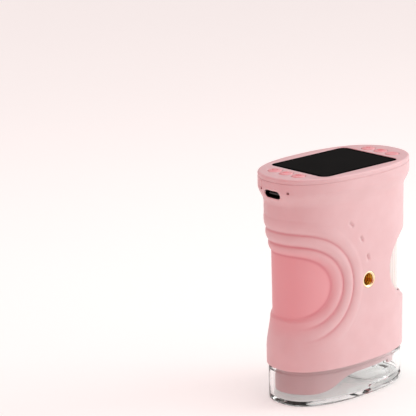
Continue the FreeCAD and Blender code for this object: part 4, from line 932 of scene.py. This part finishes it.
# turned brass: warm metal with fine lathe rings round the insert's axis
def turnedBrass():
    material, tree, shader, place = newMaterial("turnedBrass")
    inBore = addNode(tree, "ShaderNodeAttribute", {"attribute_name": "inBore"}).outputs["Fac"]
    gold = mixColour(tree, noiseAt(tree, place, 0.6), linear("#C98F1E"), linear("#DCA640"))
    # painted highlight: the pale cream face (#F6E6BE) round the mouth stands in for a bright ring of light;
    # the bore keeps the plain gold
    tree.links.new(mixColour(tree, inBore, linear("#F6E6BE"), gold), shader.inputs["Base Color"])
    shader.inputs["Metallic"].default_value = 1.0
    tree.links.new(ramp(tree, noiseAt(tree, place, 0.4), 0.3, 0.7, 0.2, 0.34), shader.inputs["Roughness"])
    rings = addNode(tree, "ShaderNodeTexNoise", {"Scale": 1 / (0.12 * mm), "Detail": 1.0}, {"Vector": place})
    addBump(tree, shader, rings.outputs["Fac"], 0.004, 0.5)
    return material


def plainMaterial(name, first, second, sizeMm, rough, metallic=0.0, ior=None, bumpMm=0.01):
    material, tree, shader, place = newMaterial(name)
    cloud = noiseAt(tree, place, sizeMm)
    tree.links.new(mixColour(tree, ramp(tree, cloud, 0.3, 0.7), linear(first), linear(second)),
                   shader.inputs["Base Color"])
    tree.links.new(ramp(tree, noiseAt(tree, place, sizeMm * 0.4), 0.3, 0.7, rough[0], rough[1]),
                   shader.inputs["Roughness"])
    shader.inputs["Metallic"].default_value = metallic
    if ior:
        shader.inputs["IOR"].default_value = ior
    addBump(tree, shader, noiseAt(tree, place, sizeMm * 0.25, 2.0), bumpMm, 0.5)
    return material


def opticalGlass():
    material, tree, shader, place = newMaterial("coatedOpticalGlass")
    shader.inputs["Base Color"].default_value = linear("#F4F8FF")
    shader.inputs["Transmission Weight"].default_value = 1.0
    shader.inputs["IOR"].default_value = 1.52
    shader.inputs["Coat Weight"].default_value = 0.4
    tree.links.new(ramp(tree, noiseAt(tree, place, 2.0), 0.3, 0.7, 0.01, 0.03), shader.inputs["Roughness"])
    return material


def setMaterial(piece, material):
    piece.data.materials.clear()
    piece.data.materials.append(material)


# ---- build

skin = makeSleeve()
print("sleeve", len(skin.data.polygons))
cap = makeBezel()
print("bezel", len(cap.data.polygons))
glass = makeWindow()
buttonPieces = [makeButton(node, icon) for node, icon in buttons.values()]
print("buttons", len(buttonPieces))
ribbed = makeWheel()
inserts = [makeInsert("tripod_insert_front", -1), makeInsert("tripod_insert_rear", 1)]
socket = makeSocket()
tongue, pads = makeTongue()
print("wheel, inserts and socket")
clearFoot = makeFoot()
print("foot", len(clearFoot.data.polygons))

pinkAbs = satinPinkAbs()
blackAbs = plainMaterial("mouldedBlackAbs", "#121214", "#1B1B1E", 1.2, (0.4, 0.55), ior=1.53)
brass = turnedBrass()
setMaterial(skin, pinkAbs)
setMaterial(cap, pinkAbs)
setMaterial(glass, displayWindow())
capMaterial, iconMaterial = rubbedPinkAbs(), deepRoseAbs()
for button, mark in buttonPieces:
    setMaterial(button, capMaterial)
    setMaterial(mark, iconMaterial)
setMaterial(ribbed, satinWhiteAbs())
for piece in inserts:
    setMaterial(piece, brass)
setMaterial(socket, plainMaterial("blackenedSteel", "#1A1A1C", "#232326", 0.8, (0.3, 0.45),
                                  metallic=1.0, bumpMm=0.004))
setMaterial(tongue, blackAbs)
setMaterial(pads, plainMaterial("tinnedContacts", "#C9CBCF", "#DADCE0", 0.4, (0.25, 0.35),
                                metallic=1.0, bumpMm=0.002))
acrylic = clearAcrylic()
setMaterial(clearFoot, acrylic)

platedSteel = plainMaterial("zincPlatedSteel", "#B8BABD", "#CDCFD2", 0.7, (0.25, 0.4),
                            metallic=1.0, bumpMm=0.006)
boardGreen = plainMaterial("greenSolderMask", "#0E4A2B", "#14583A", 1.8, (0.3, 0.45), ior=1.5)
chipBlack = plainMaterial("mouldedEpoxyPackage", "#17181A", "#222326", 0.5, (0.5, 0.65), ior=1.55)
greyAbs = plainMaterial("mouldedGreyAbs", "#8F8D8E", "#9B9999", 1.4, (0.4, 0.55), ior=1.53)
frosted = plainMaterial("frostedPolycarbonate", "#EDEDEA", "#F6F6F4", 1.0, (0.5, 0.65), ior=1.58)
ledCase = plainMaterial("ledPhosphor", "#F4E9B0", "#FAF3CE", 0.5, (0.4, 0.5), ior=1.5)
foil = plainMaterial("laminateFoilPouch", "#A8ABB0", "#BBBEC3", 2.4, (0.28, 0.42), metallic=0.8, bumpMm=0.05)
foam = plainMaterial("closedCellFoam", "#222224", "#2E2E31", 0.4, (0.8, 0.95), ior=1.5, bumpMm=0.08)
redLead = plainMaterial("redSiliconeLead", "#9C1B17", "#B0241E", 0.6, (0.45, 0.6), ior=1.41)
amberFlex = plainMaterial("polyimideFlex", "#B06A1E", "#C47C2A", 0.9, (0.25, 0.4), ior=1.7)
lensGlass = opticalGlass()
finishes = {
    "lcd_module": blackAbs, "tact_switches": blackAbs, "main_board": boardGreen, "board_chips": chipBlack,
    "board_screws": platedSteel, "charge_led": ledCase, "reset_switch": blackAbs, "microphone": platedSteel,
    "battery_foam": foam, "battery": foil, "battery_leads": redLead, "optics_column": greyAbs,
    "wheel_retainer": greyAbs, "lens_carriage": blackAbs, "guide_pin": platedSteel, "front_lens": lensGlass,
    "rear_lens": lensGlass, "lens_ring": blackAbs, "sensor_holder": blackAbs, "sensor_board": boardGreen,
    "image_sensor": chipBlack, "sensor_screws": platedSteel, "sensor_ribbon": amberFlex,
    "led_board": boardGreen, "leds": ledCase, "led_diffuser": frosted, "led_leads": redLead,
    "lens_shroud": pinkAbs, "shroud_screws": platedSteel,
}
replaced = {"body_shell", "top_bezel", "screen_window", "focus_wheel", "tripod_insert_front",
            "tripod_insert_rear", "usb_socket", "usb_tongue", "clear_base"}
replaced |= {node for node, _ in buttons.values()}
for node, item in cadNodes.items():
    material = finishes.get(node) or (pinkAbs if node in replaced else None)
    if material is None:
        print("no finish for", node)
        continue
    for slot in item.material_slots:
        slot.material = material
print("materials set")

# ---- stage, lights and camera

# a broad white table that glows a little, as a light table does, so that it stays pale to its edge
def lightTable():
    size = 30000.0
    corners = np.array([(x * size, y * size, -0.02) for x, y in ((-1, -1), (1, -1), (1, 1), (-1, 1))])
    piece = newPiece("floor", corners, [(0, 1, 2, 3)])
    material, tree, shader, place = newMaterial("opalLightTable")
    tree.links.new(mixColour(tree, noiseAt(tree, place, 300.0), linear("#E4E4E3"), linear("#E8E8E6")),
                   shader.inputs["Base Color"])
    shader.inputs["Roughness"].default_value = 0.6
    shader.inputs["Emission Color"].default_value = linear("#FFFFFC")
    shader.inputs["Emission Strength"].default_value = 0.32
    setMaterial(piece, material)


# room light by direction: a plain white level, mixed towards each patch's own light by a smooth ramp
# of the cosine between the direction and the patch's middle
room = {
    "white": (0.64, 0.635, 0.63),
    "rosyWall": ((-0.96, -0.28, 0.0), -0.05, 0.6, (0.76, 0.25, 0.27)),
    "keyGlow": ((0.62, -0.72, 0.3), 0.8, 0.97, (1.45, 1.43, 1.4)),
    "ceilingGlow": ((0.0, -0.3, 1.0), 0.75, 0.98, (1.0, 1.0, 1.0)),
    "blackFlag": ((0.64, 0.73, 0.255), 0.9, 0.965, (0.02, 0.02, 0.02)),
}


def makeRoom():
    world = bpy.data.worlds.new("softWhiteRoom")
    scene.world = world
    world.use_nodes = True
    tree = world.node_tree
    way = addNode(tree, "ShaderNodeTexCoord").outputs["Generated"]
    light = room["white"] + (1.0,)
    for name in ("rosyWall", "keyGlow", "ceilingGlow", "blackFlag"):
        middle, start, full, colour = room[name]
        toMiddle = tuple(Vector(middle).normalized())
        dot = addNode(tree, "ShaderNodeVectorMath", {"operation": "DOT_PRODUCT", 1: toMiddle}, {0: way})
        share = addNode(tree, "ShaderNodeMapRange", {"interpolation_type": "SMOOTHSTEP", "From Min": start,
                                                     "From Max": full}, {"Value": dot.outputs["Value"]})
        light = mixColour(tree, share.outputs["Result"], light, colour + (1.0,))
    tree.links.new(light, tree.nodes["Background"].inputs["Color"])


def softBox(name, place, target, width, height, power):
    light = bpy.data.lights.new(name, "AREA")
    light.shape = "RECTANGLE"
    light.size, light.size_y = width * mm, height * mm
    light.energy = power
    item = bpy.data.objects.new(name, light)
    scene.collection.objects.link(item)
    start, end = Vector(place) * mm, Vector(target) * mm
    item.location = start
    item.rotation_euler = (end - start).to_track_quat("-Z", "Y").to_euler()


lightTable()
makeRoom()
softBox("keyRight", (520, -330, 330), (0, 0, 50), 320, 420, 1.5)
softBox("topFill", (40, 120, 620), (0, 0, 60), 420, 320, 0.7)

view = {
    "azimuth": -41.36,
    "elevation": 14.75,
    "roll": -1.17,
    "distance": 957.3,
    "right": -54.63,         # how far the camera's axis passes the middle of the part, mm
    "up": 29.03,
    "aimHeight": 50.0,
    "lens": 192.37,
}


def makeCamera():
    a, e, roll = (math.radians(view[key]) for key in ("azimuth", "elevation", "roll"))
    back = Vector((math.sin(a) * math.cos(e), -math.cos(a) * math.cos(e), math.sin(e)))
    side = Vector((math.cos(a), math.sin(a), 0))
    up = back.cross(side)
    right = side * math.cos(roll) + up * math.sin(roll)
    upright = up * math.cos(roll) - side * math.sin(roll)
    data = bpy.data.cameras.new("camera")
    data.lens = view["lens"]
    data.sensor_width = 36
    camera = bpy.data.objects.new("camera", data)
    scene.collection.objects.link(camera)
    aim = Vector((0, 0, view["aimHeight"]))
    where = aim + right * view["right"] + upright * view["up"] + back * view["distance"]
    turn = Matrix((right, upright, back)).transposed().to_4x4()
    camera.matrix_world = Matrix.Translation(where * mm) @ turn
    data.clip_start, data.clip_end = 0.05, 50
    scene.camera = camera


makeCamera()
scene.view_settings.view_transform = "Standard"

print("looks are ready")
